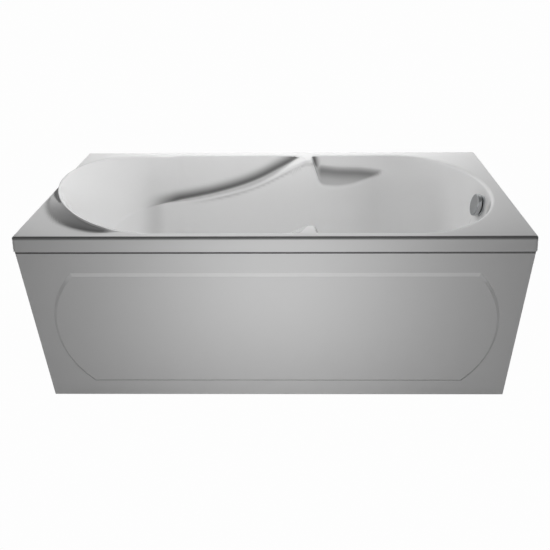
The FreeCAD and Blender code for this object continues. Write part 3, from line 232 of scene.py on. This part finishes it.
# The armrests: heights of the ridge and of the ledge behind the step, and how far the inner face
# stands out from the middle of the tub at arm_level, all along the tub.
ridge = [(-640, 436), (-490, 427), (-392, 428), (-235, 455), (-79, 506), (0, 546), (60, 578), (95, 595)]
inner_face = [(-800, 306), (-400, 283), (0, 259), (150, 254), (290, 267), (345, 284), (402, 303),
              (460, 323), (700, 400)]
ledge = [(90, 505), (154, 501), (209, 495), (264, 493), (302, 492), (345, 488), (402, 481), (520, 465)]
arm_level, arm_tilt, ledge_start, ledge_root = 450.0, 0.22, 90.0, 259.0
step_x, step_z, step_run, step_rise = 154.0, 498.0, 36.0, 101.0
step_round, ledge_fillet = 9.0, 14.0

# Where an armrest starts it grows out of the head wall, over arm_run, and leaves it at free_x.
arm_reach, arm_start, arm_run, arm_blend = 15.0, -545.0, 150.0, 25.0
free_reach, free_x, free_run = 60.0, -300.0, 200.0

# The radius of its edge and of the fillet at its foot, and what each gains past round_x.
round_x, round_run = -480.0, 150.0
edge_round, foot_round = (3.0, 5.0), (5.0, 4.0)

# The holes: the waste's in the floor and the overflow's in its flat seat on the end wall.
waste_x, overflow_z, seat_r, hole_r = 470.0, 535.0, 35.6, 26.0
overflow_x = waste_tip - (rim_z - overflow_z) * math.tan(waste_lean)


def smooth_step(t):
    """Goes from 0 to 1 as t does, level at both ends."""
    t = np.clip(t, 0, 1)
    return t * t * (3 - 2 * t)


def meet(a, b, r):
    """Where two bodies overlap, with the edge between them rounded."""
    return np.maximum(np.minimum(a, b), r) - np.hypot(np.maximum(r - a, 0), np.maximum(r - b, 0))


def join(a, b, r):
    """Two bodies as one, with a fillet between them."""
    return -meet(-a, -b, r)


def curve(points, x):
    """A smooth curve through the points, level beyond its ends."""
    px, py = np.array(points, float).T
    slope = np.gradient(py, px)
    k = np.clip(np.searchsorted(px, x) - 1, 0, len(px) - 2)
    h = px[k + 1] - px[k]
    t = np.clip((x - px[k]) / h, 0, 1)
    return ((1 + 2 * t) * (1 - t) ** 2 * py[k] + t * (1 - t) ** 2 * h * slope[k]
            + t * t * (3 - 2 * t) * py[k + 1] + t * t * (t - 1) * h * slope[k + 1])


def cap(x):
    """Height of the rim and of the crest of the lip."""
    return rim_z + lip_rise * np.clip((lip_end - x) / lip_run, 0, 1) ** lip_bow


def wall_inset(z, top, lean, fillet):
    """How far a leaning wall with a round foot lies in from its top edge."""
    height = z - floor_z
    drop = top - floor_z
    tangent = fillet * (1 - math.sin(lean))
    centre = (drop - tangent) * math.tan(lean) + fillet * math.cos(lean)
    curved = centre - np.sqrt(np.maximum(fillet ** 2 - (fillet - height) ** 2, 0))
    return np.where(height >= tangent, (drop - height) * math.tan(lean), curved)


def bowl_gap(x, y, z, rolled):
    """How far a point lies outside the outline of the bowl at its level.

    The bowl opens wider at its top, where its edge rolls over, if rolled is 1 and not 0.
    """
    low = np.minimum(z, rim_z)
    fall = np.clip((rim_z - z) / (rim_z - floor_z), 0, 1)
    top = cap(x)
    r = roll_r + (lip_roll_r - roll_r) * (top - rim_z) / lip_rise
    rise = np.clip(z - (top - r), 0, r)
    opening = (r - np.sqrt(r * r - rise * rise)) * rolled
    lower = 1 - smooth_step((z - wave_z) / wave_rise)
    wave = smooth_step((x - narrow_x + wave_back * lower) / (narrow_run + wave_longer * lower))
    half = bowl_half - wall_inset(low, rim_z, side_lean, side_fillet) + opening - head_narrow * (1 - wave)
    waste_long = waste_oval[0] - (waste_oval[0] - waste_oval[1]) * fall
    waste_mid = waste_tip - wall_inset(low, rim_z, waste_lean, waste_fillet) + opening - waste_long
    head_long = head_oval[0] - (head_oval[0] - head_oval[1]) * fall
    crest = rim_z + lip_rise
    back_inset = wall_inset(np.minimum(z, crest), crest, back_lean, back_fillet)
    head_mid = head_tip + back_inset - opening + head_long
    semi = np.where(x > waste_mid, waste_long, head_long)
    along = np.maximum(x - waste_mid, 0) + np.maximum(head_mid - x, 0)
    reach = np.hypot(along / semi, y / half)
    steep = np.hypot(along / semi ** 2, y / half ** 2) / np.maximum(reach, 1e-6)
    return (reach - 1) / np.maximum(steep, 1e-6)


def past_face(x, y, z):
    """How far outwards a point lies from the inner face of the armrest."""
    return np.abs(y) - curve(inner_face, x) - (z - arm_level) * math.tan(side_lean)


def armrest(x, y, z, gap):
    """Depth in an armrest: its swoop, its step down, the ledge behind it and its start at the head."""
    side = np.abs(y)
    slope = (curve(ridge, x + 2) - curve(ridge, x - 2)) / 4
    tilted = arm_tilt * np.maximum(side - curve(inner_face, x), 0)
    top = (curve(ridge, x) + tilted - z) / np.hypot(1, slope)
    step = ((step_x - x) * step_rise - (z - step_z) * step_run) / math.hypot(step_rise, step_run)
    back = np.minimum((curve(ledge, x) + side - ledge_root - z) / math.sqrt(2), x - ledge_start)
    grown = arm_reach * smooth_step((x - arm_start) / arm_run)
    start = gap + grown - free_reach * smooth_step((x - free_x) / free_run)
    inner = join(past_face(x, y, z) * math.cos(side_lean), start, arm_blend)
    rounder = edge_round[0] + edge_round[1] * smooth_step((x - round_x) / round_run)
    return meet(join(meet(top, step, step_round), back, ledge_fillet), inner, rounder)


def wall_depth(x, y, z, rolled):
    """Depth of a point behind the wet face, below 0 in the open bowl."""
    gap = bowl_gap(x, y, z, rolled)
    rounder = foot_round[0] + foot_round[1] * smooth_step((x - round_x) / round_run)
    body = join(np.maximum(gap, floor_z - z), armrest(x, y, z, gap), rounder)
    out = (overflow_x - x) * math.cos(waste_lean) + (z - overflow_z) * math.sin(waste_lean)
    up = (overflow_x - x) * math.sin(waste_lean) - (z - overflow_z) * math.cos(waste_lean)
    body = np.minimum(body, np.maximum(np.hypot(up, y) - seat_r, -out))
    return np.minimum(body, cap(x) - z) if rolled else body


def first_positive(field, low, high, steps=30):
    """Where a rising field crosses 0 between low and high, by halving."""
    for _ in range(steps):
        middle = (low + high) / 2
        inside = field(middle) > 0
        high = np.where(inside, middle, high)
        low = np.where(inside, low, middle)
    return (low + high) / 2


def outline_gap(x, y, inset, back_inset):
    """How far a point lies outside the rounded rectangle of the rim."""
    r = corner_r - min(inset, corner_r - 1)
    qx = np.abs(x) - half_l + inset + r
    qy = np.where(y < 0, -y - half_w + inset, y - half_w + back_inset) + r
    return np.hypot(np.maximum(qx, 0), np.maximum(qy, 0)) + np.minimum(np.maximum(qx, qy), 0) - r


# The lines of the grid: straight across the long part, closest at the armrests' steps, and fanned
# round both ends, in degrees, with more of them beside each corner of the rim.
head_centre, waste_centre, eye_z = -300.0, 380.0, 700.0
stretches = ((head_centre, 80.0, 5.5), (80.0, 164.0, 2.0), (164.0, waste_centre, 8.0))
overflow_fan = (0.0, 8.0, 0.6)
waste_fan, waste_corner = (8.0, 90.0, 1.9), (-1.3, -0.9, -0.5, -0.1, 0.3, 0.7)
head_fan, head_corner = (0.0, 90.0, 1.7), (-1.2, -0.8, -0.4, 0.0, 0.4, 0.8)


def fan(centre_x, ranges, beside_corner):
    """Angles from the long axis to straight across, with some beside the corner of the rim."""
    corner = math.degrees(math.atan2(half_w, half_l - abs(centre_x)))
    angles = [np.arange(*part) for part in ranges] + [corner + np.array(beside_corner)]
    return np.unique(np.concatenate(angles))


long_x = np.concatenate([np.arange(*stretch) for stretch in stretches])
waste_turn = np.radians(fan(waste_centre, (overflow_fan, waste_fan), waste_corner))
head_turn = np.radians(180 - fan(head_centre, (head_fan,), head_corner))
middle = np.concatenate([np.full(len(waste_turn), waste_centre), long_x[::-1],
                         np.full(len(head_turn), head_centre)])
heading = np.concatenate([waste_turn, np.full(len(long_x), np.pi / 2), head_turn[::-1]])
middle = np.concatenate([middle, middle[-2:0:-1]])
heading = np.concatenate([heading, -heading[-2:0:-1]])
across_x, across_y = np.cos(heading), np.sin(heading)
across_x[np.abs(across_x) < 1e-9] = 0
lines = len(middle)


def along_line(r):
    """The points at a distance out along each line."""
    return middle + across_x * r, across_y * r


def reach_of(gap, near, far):
    """How far out along each line a gap turns positive, between near and far."""
    return first_positive(gap, np.full(lines, near), np.full(lines, far))


def rays(turn, level, rolled, far):
    """Points where rays, turned up from straight down, meet a depth of the wall."""
    down, out = np.cos(turn), np.sin(turn)
    limit = np.minimum((eye_z - floor_z + 2 * sheet) / np.maximum(down, 1e-6), far / np.maximum(out, 1e-6))

    def depth(t):
        return wall_depth(middle + across_x * out * t, across_y * out * t, eye_z - down * t, rolled) - level

    t = first_positive(depth, np.zeros_like(turn), limit)
    return np.stack([middle + across_x * out * t, across_y * out * t, eye_z - down * t], -1)


# The wet face. A first cast shows where it bends, and the rows of the second crowd there.
inside_bowl, past_bowl, past_rim, past_edge = 50.0, 520.0, 900.0, 2.0
first_rows, wet_rows, bend_weight = 260, 124, 35
edge = reach_of(lambda r: bowl_gap(*along_line(r), cap(along_line(r)[0]), 1.0), inside_bowl, past_bowl)
edge_z = cap(along_line(edge)[0])
full_turn = np.arctan2(edge, eye_z - edge_z)
share = np.linspace(0, 1, first_rows)[:, None]
coarse = rays(share * full_turn, 0.0, 1.0, edge + past_edge)
steps_3d = np.diff(coarse, axis=0)
length = np.linalg.norm(steps_3d, axis=2)
facing = steps_3d / length[..., None]
bend = np.arccos(np.clip((facing[1:] * facing[:-1]).sum(2), -1, 1))
weight = length.copy()
weight[1:] += bend_weight * bend
weight[:-1] += bend_weight * bend
total = np.concatenate([np.zeros((1, lines)), np.cumsum(weight, 0)]) / weight.sum(0)
wanted = np.linspace(0, 1, wet_rows)
turns = np.stack([np.interp(wanted, total[:, k], share[:, 0] * full_turn[k]) for k in range(lines)], 1)
wet = rays(turns, 0.0, 1.0, edge + past_edge)
wet[-1] = np.stack([*along_line(edge), edge_z], -1)
rows = [wet]

# The rim: the crest of the lip, its hollow flank and the flat land, out to the rolled edge.
rim_rows, rim_crowding = 22, 1.6
land_end = reach_of(lambda r: outline_gap(*along_line(r), flare + edge_r, edge_r), edge, past_rim)


def foot_gap(r):
    """How far along a line lies outside the foot of the lip, as a share of its oval."""
    x, y = along_line(r)
    return np.hypot(np.maximum(foot_x - x, 0) / foot_long, y / foot_half) - 1


foot = reach_of(foot_gap, inside_bowl, past_rim)
flank = np.maximum(foot - edge - crest_flat, least_flank)
for part in (np.arange(1, rim_rows + 1) / rim_rows) ** rim_crowding:
    r = edge + (land_end - edge) * part
    x, y = along_line(r)
    lip = lip_rise * (1 - np.clip((r - edge - crest_flat) / flank, 0, 1) ** flank_hollow)
    rows.append(np.stack([x, y, np.minimum(rim_z + lip, cap(x))], -1)[None])


def outer_row(inset, back_inset, z):
    """A row round the tub at a level, in from its sides and from its back."""
    r = reach_of(lambda r: outline_gap(*along_line(r), inset, back_inset), edge, past_rim)
    return np.stack([*along_line(r), np.full(lines, z)], -1)[None]


def skirt_inset(z):
    """How far in from its foot the leaning skirt lies at a level."""
    return flare * (z - skirt_z) / (rim_z - skirt_z)


# The rolled edge, the skirt down and up again inside, and the dry face of the rim and the bowl.
under = rim_z - sheet
edge_angles = np.radians((72, 54, 36, 18, 0))
skirt_rows, inner_rows = (590.0, 572.0, skirt_z), (skirt_z, 575.0, under)
for angle in edge_angles:
    z = rim_z - edge_r * (1 - math.sin(angle))
    drawn = edge_r * (1 - math.cos(angle))
    rows.append(outer_row(skirt_inset(z) + drawn, drawn, z))
for z in skirt_rows:
    rows.append(outer_row(skirt_inset(z), 0.0, z))
for z in inner_rows:
    rows.append(outer_row(skirt_inset(z) + sheet, sheet, z))
dry_edge = reach_of(lambda r: bowl_gap(*along_line(r), np.full(lines, under), 0.0) - sheet, inside_bowl,
                    past_bowl)
inner_end = rows[-1][0]
dry_rim = np.stack([*along_line(dry_edge), np.full(lines, under)], -1)
rows.append((0.5 * inner_end + 0.5 * dry_rim)[None])
dry_turn = np.arctan2(dry_edge, eye_z - under)
dry_share = np.concatenate([turns[:-3:3], turns[-1:]]) / turns[-1]
dry = rays(dry_share * dry_turn, sheet, 0.0, dry_edge + past_edge)
dry[-1] = dry_rim
rows.append(dry[::-1])
grid = np.concatenate(rows)

# Painted shade, put into the colour of the tub: how dark to paint the groove behind each armrest
# and the pocket behind its step, darkest against the wall of the bowl, and fading upwards,
# inwards and at both ends.
face_from, face_run, no_face_x, no_face_run = -4.0, 8.0, -380.0, 40.0
groove_width, groove_height, groove_x, groove_run = 11.0, 46.0, -540.0, 140.0
pocket_x, pocket_run, pocket_end, pocket_fade = 128.0, 30.0, 440.0, 70.0
pocket_width, pocket_rise, pocket_height, pocket_edge = 34.0, 30.0, 12.0, 7.0
pocket_least, pocket_more = 0.35, 0.4
x, y, z = wet.transpose(2, 0, 1)
gap = bowl_gap(x, y, z, 1.0)
over_arm = armrest(x, y, z, gap)
near_wall = smooth_step((gap + groove_width) / groove_width)
face_gap = past_face(x, y, z)
behind_face = np.maximum(smooth_step((face_gap - face_from) / face_run),
                         smooth_step((no_face_x - x) / no_face_run))
past_step = smooth_step((x - pocket_x) / pocket_run)
groove_painted_shade = near_wall * behind_face * (1 - past_step) * smooth_step(1 + over_arm / groove_height)
groove_painted_shade *= smooth_step((x - groove_x) / groove_run)
pocket_painted_shade = smooth_step(face_gap / pocket_edge) * past_step * smooth_step((pocket_end - x) / pocket_fade)
pocket_painted_shade *= smooth_step(1 + over_arm / pocket_height)
pocket_painted_shade *= pocket_least + pocket_more * smooth_step((gap + pocket_width) / pocket_rise)

# Painted shade as well for a soft dark line along the face, a little under its edge.
line_shade, line_drop, line_width, line_reach, line_x, line_run = 0.3, 11.0, 5.0, 9.0, -400.0, 200.0
clear_rim = 4.0
under_edge_painted_shade = line_shade * np.exp(-((curve(ridge, x) - z - line_drop) / line_width) ** 2)
under_edge_painted_shade *= (np.abs(face_gap) < line_reach) * (1 - past_step)
under_edge_painted_shade *= smooth_step((x - line_x) / line_run)
# Each point's painted shade, from 0 to 1, which the mesh keeps as its shade attribute.
shade = np.zeros(grid.shape[:2])
shade[:wet_rows] = np.maximum(np.maximum(groove_painted_shade, pocket_painted_shade), under_edge_painted_shade) * (z < rim_z - clear_rim)

# Painted shade as well on the flank of the lip, darkest at its foot, and stronger at the front than at the
# back.
foot_fade, top_light, head_run, thin_flank, flank_run = 18.0, 0.3, 60.0, 1.0, 8.0
front_flank_x, front_flank_shade = -440.0, 0.9
back_flank_x, back_flank_shade = -610.0, 0.55
flank_rows = grid[wet_rows:wet_rows + rim_rows]
rise = (flank_rows[..., 2] - rim_z) / lip_rise
beyond = np.hypot(flank_rows[..., 0] - middle, flank_rows[..., 1]) - foot
foot_shade = smooth_step(1 - np.maximum(beyond, 0) / foot_fade)
at_front = flank_rows[..., 1] < 0
shaded_from = np.where(at_front, front_flank_x, back_flank_x)
on_head = smooth_step((foot - edge - thin_flank) / flank_run)
on_head = on_head * smooth_step((shaded_from - flank_rows[..., 0]) / head_run)
on_head *= np.where(at_front, front_flank_shade, back_flank_shade)
flank_shade = np.where(rise > 0.01, 1.0 - top_light * np.clip(rise, 0, 1), foot_shade)
shade[wet_rows:wet_rows + rim_rows] = flank_shade * on_head

# Painted shade as well, a dark line along the rolled edge at the front, from half at the end of the land.
front_y, front_run = -320.0, 20.0
edge_rows = slice(wet_rows + rim_rows - 1, wet_rows + rim_rows + len(edge_angles))
front_edge_painted_shade = smooth_step((front_y - grid[edge_rows, :, 1]) / front_run)
shade[edge_rows] = np.array([0.5] + [1.0] * len(edge_angles))[:, None] * front_edge_painted_shade

# The mesh, with both holes cut and the doubled points on the middle line of the floor made one.
end_wall_x, floor_top_z = 600.0, 200.0
same_place, no_length, sharp_bend = 1e-5, 1e-6, math.radians(55)
turn_round = np.roll(np.arange(lines), -1)
index = np.arange(grid.shape[0] * lines).reshape(-1, lines)
quads = np.stack([index[:-1], index[1:], index[1:, turn_round], index[:-1, turn_round]], -1).reshape(-1, 4)
points = grid.reshape(-1, 3)
centre = points[quads].mean(1)
up = (overflow_x - centre[:, 0]) * math.sin(waste_lean) - (centre[:, 2] - overflow_z) * math.cos(waste_lean)
pierced = (np.hypot(up, centre[:, 1]) < hole_r) & (centre[:, 0] > end_wall_x)
pierced |= (np.hypot(centre[:, 0] - waste_x, centre[:, 1]) < hole_r) & (centre[:, 2] < floor_top_z)
quads = quads[~pierced]
mesh = bpy.data.meshes.new("tub")
mesh.from_pydata((points / 1000).tolist(), [], quads.tolist())
# The painted shade goes into the mesh as its shade attribute.
mesh.attributes.new("shade", "FLOAT", "POINT").data.foreach_set("value", shade.ravel().astype(np.float32))
work = bmesh.new()
work.from_mesh(mesh)
bmesh.ops.remove_doubles(work, verts=work.verts, dist=same_place)
bmesh.ops.dissolve_degenerate(work, edges=work.edges, dist=no_length)
bmesh.ops.delete(work, geom=[v for v in work.verts if not v.link_faces], context="VERTS")
bmesh.ops.recalc_face_normals(work, faces=work.faces)
work.to_mesh(mesh)
work.free()
mesh.shade_smooth()
mesh.set_sharp_from_angle(angle=sharp_bend)
tub = bpy.data.objects.new("tub", mesh)
bpy.context.collection.objects.link(tub)

# Its finish: gloss white with a hint of unevenness, and painted shade where the mesh's shade attribute says
# so.
tub_painted_shade = 0.88
grain_detail, grain_depth = 3.0, 0.0006


def material(name, color, roughness, metallic=0.0, coat=0.0, grain=0.0, grain_scale=60.0, bump=0.0,
             painted_light=None):
    """A finish whose colour and roughness drift by its grain, which bump raises.

    Where a function for painted light is given, it paints light and shade into the colour:
    it gives the share of the colour left at each place on the piece.
    """
    made = bpy.data.materials.new(name)
    made.use_nodes = True
    tree = made.node_tree
    shader = tree.nodes["Principled BSDF"]
    shader.inputs["Metallic"].default_value = metallic
    shader.inputs["Coat Weight"].default_value = coat
    shader.inputs["Roughness"].default_value = roughness
    shader.inputs["Base Color"].default_value = (*color, 1.0)
    place = Socket.node(tree, "ShaderNodeTexCoord", output="Object")
    drift = place.noise(grain_scale, grain_detail)
    paint = drift.between(tuple(c * (1 - grain) for c in color), color)
    if painted_light:
        paint = paint.dimmed(painted_light(place))
    tree.links.new(paint.out, shader.inputs["Base Color"])
    rough = roughness * (1 - grain / 2) + drift * (roughness * grain)
    tree.links.new(rough.out, shader.inputs["Roughness"])
    if bump:
        values = {"Strength": bump, "Distance": grain_depth, "Height": drift}
        raised = Socket.node(tree, "ShaderNodeBump", values)
        tree.links.new(raised.out, shader.inputs["Normal"])
    return made


def dress(finish, *names):
    """Gives CAD pieces their finish."""
    for name in names:
        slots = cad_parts[name].data.materials
        slots.clear()
        slots.append(finish)


def tub_painted_light(place):
    """The share of colour left where the mesh's shade attribute paints shade on it."""
    painted_shade_share = Socket.node(place.tree, "ShaderNodeAttribute", output="Fac", attribute_name="shade")
    return 1 - painted_shade_share * tub_painted_shade


acrylic = material("acrylic", (0.86, 0.86, 0.86), 0.16, coat=0.3, grain=0.01, grain_scale=4.0,
                   painted_light=tub_painted_light)
dress(acrylic, "tub_shell")
mesh.materials.append(acrylic)
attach(tub, "tub")
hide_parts("tub_shell")


# ---- board and timber -------------------------------------------------------------------------
# A chipboard is bonded under the flat floor of the bowl and spreads the load. Battens and blocks
# of softwood under the rim take the screws of the posts, the clips and the wall brackets.

chipboard = material("chipboard", (0.50, 0.36, 0.22), 0.85, grain=0.45, grain_scale=320.0, bump=0.6)
timber = material("timber", (0.62, 0.45, 0.27), 0.7, grain=0.3, grain_scale=90.0, bump=0.3)
dress(chipboard, "base_board")
dress(timber, "rim_batten_front", "rim_batten_back", "corner_blocks")


# ---- frame ------------------------------------------------------------------------------------
# Square steel tubes with a dark grey coat: two long rails under the board, three cross bars
# welded under them, and four posts, bolted to the bars and screwed to the blocks under the rim.
# Black caps close the ends of the rails, and screws hold them to the board.

corners = ("front_left", "front_right", "back_left", "back_right")
frame_steel = material("frame_steel", (0.20, 0.21, 0.23), 0.5, grain=0.08, grain_scale=400.0, bump=0.15)
zinc_steel = material("zinc_steel", (0.62, 0.62, 0.60), 0.35, metallic=1.0, grain=0.25)
black_plastic = material("black_plastic", (0.035, 0.035, 0.038), 0.5, grain=0.15, bump=0.2)
dress(frame_steel, "long_rail_front", "long_rail_back")
dress(frame_steel, "cross_bar_left", "cross_bar_centre", "cross_bar_right")
dress(frame_steel, *("corner_post_" + corner for corner in corners))
dress(black_plastic, "tube_end_caps")
dress(zinc_steel, "post_bolts", "block_screws", "board_screws")


# ---- feet -------------------------------------------------------------------------------------
# Five threaded rods of zinc-plated steel, each screwed up or down in a welded nut, held by a lock
# nut, and standing on a black moulded pad.

dress(zinc_steel, "adjuster_nuts")
for foot_name in corners + ("centre",):
    dress(zinc_steel, "foot_rod_" + foot_name)
    dress(black_plastic, "foot_pad_" + foot_name)


# ---- front panel ------------------------------------------------------------------------------
# A formed sheet of white plastic with a raised field and returned edges. Its top rests on folded
# steel clips that are screwed to the front batten, and its foot is screwed to strips that come
# down from the cross bars.
#
# From gap_z up the colour is painted nearly black, a painted shadow of the gap under the skirt.
# The bevels of the field that look up or sideways get a painted highlight, and those that look
# down get painted shade.

gap_z, gap_fade, panel_painted_shade = 0.5458, 0.001, 0.92


def panel_painted_light(place):
    """The share of colour left at a place on the panel, with a painted shadow, painted highlights and
    painted shade.
    """
    facing = Socket.node(place.tree, "ShaderNodeTexCoord", output="Normal")
    sideways, upwards = facing.part("X"), facing.part("Z")
    gap_painted_shadow = place.part("Z").ramp(gap_z - gap_fade, gap_z + gap_fade, 0, 1)
    bevel_painted_highlight = (sideways * sideways + upwards * upwards).ramp(0.0, 0.5, 0, 0.2)
    # The painted shadow of the gap, a painted highlight on bevels that look up or sideways, and painted
    # shade on faces that look down.
    painted_shade_share = gap_painted_shadow - bevel_painted_highlight * upwards.ramp(-0.1, 0.0, 0, 1) + upwards.ramp(-0.5, -0.05, 0.5, 0)
    return 1 - painted_shade_share * panel_painted_shade


panel_plastic = material("panel_plastic", (0.84, 0.84, 0.84), 0.22, coat=0.7, grain=0.01,
                         grain_scale=4.0, painted_light=panel_painted_light)
dress(panel_plastic, "front_panel")
dress(zinc_steel, "panel_clips", "clip_screws", "panel_brackets", "panel_screws")


# ---- wall brackets ----------------------------------------------------------------------------
# Two Z-shaped strips of zinc-plated steel. The upper leaf of each is screwed to the back batten,
# and the lower one has two holes for screws into the wall.

dress(zinc_steel, "wall_brackets", "bracket_screws")


# ---- overflow ---------------------------------------------------------------------------------
# A chrome-plated knob that turns on a brass spindle in front of its flange. Two screws pull the
# flange, the wall of the tub and a rubber seal against the moulded body behind it.

chrome = material("chrome", (0.44, 0.45, 0.46), 0.1, metallic=1.0, grain=0.02)
brass = material("brass", (0.72, 0.52, 0.24), 0.3, metallic=1.0, grain=0.15)
seal_rubber = material("seal_rubber", (0.03, 0.03, 0.032), 0.75, grain=0.1)
pipe_plastic = material("pipe_plastic", (0.80, 0.80, 0.78), 0.42, grain=0.03)
dress(chrome, "overflow_flange", "overflow_knob")
dress(brass, "knob_spindle")
dress(seal_rubber, "overflow_seal")
dress(pipe_plastic, "overflow_body")
dress(zinc_steel, "flange_screws")


# ---- hose and cable ---------------------------------------------------------------------------
# A ribbed hose drains the overflow into the waste, with a nut at each end, and a cable in a black
# sleeve carries the turn of the knob to the plug.

hose_plastic = material("hose_plastic", (0.66, 0.66, 0.65), 0.45, grain=0.05)
dress(hose_plastic, "overflow_hose")
dress(pipe_plastic, "hose_nuts")
dress(black_plastic, "control_cable")


# ---- waste and trap ---------------------------------------------------------------------------
# A chrome-plated flange and plug in the floor of the bowl, with rubber seals. The cable pushes up
# a small cup under the plug's stem in the moulded body, and a trap hangs under it by a nut.

dress(chrome, "waste_flange", "waste_plug")
dress(seal_rubber, "waste_seal", "plug_seal")
dress(pipe_plastic, "plug_lifter", "waste_body", "trap_nut", "trap_body", "trap_cup")
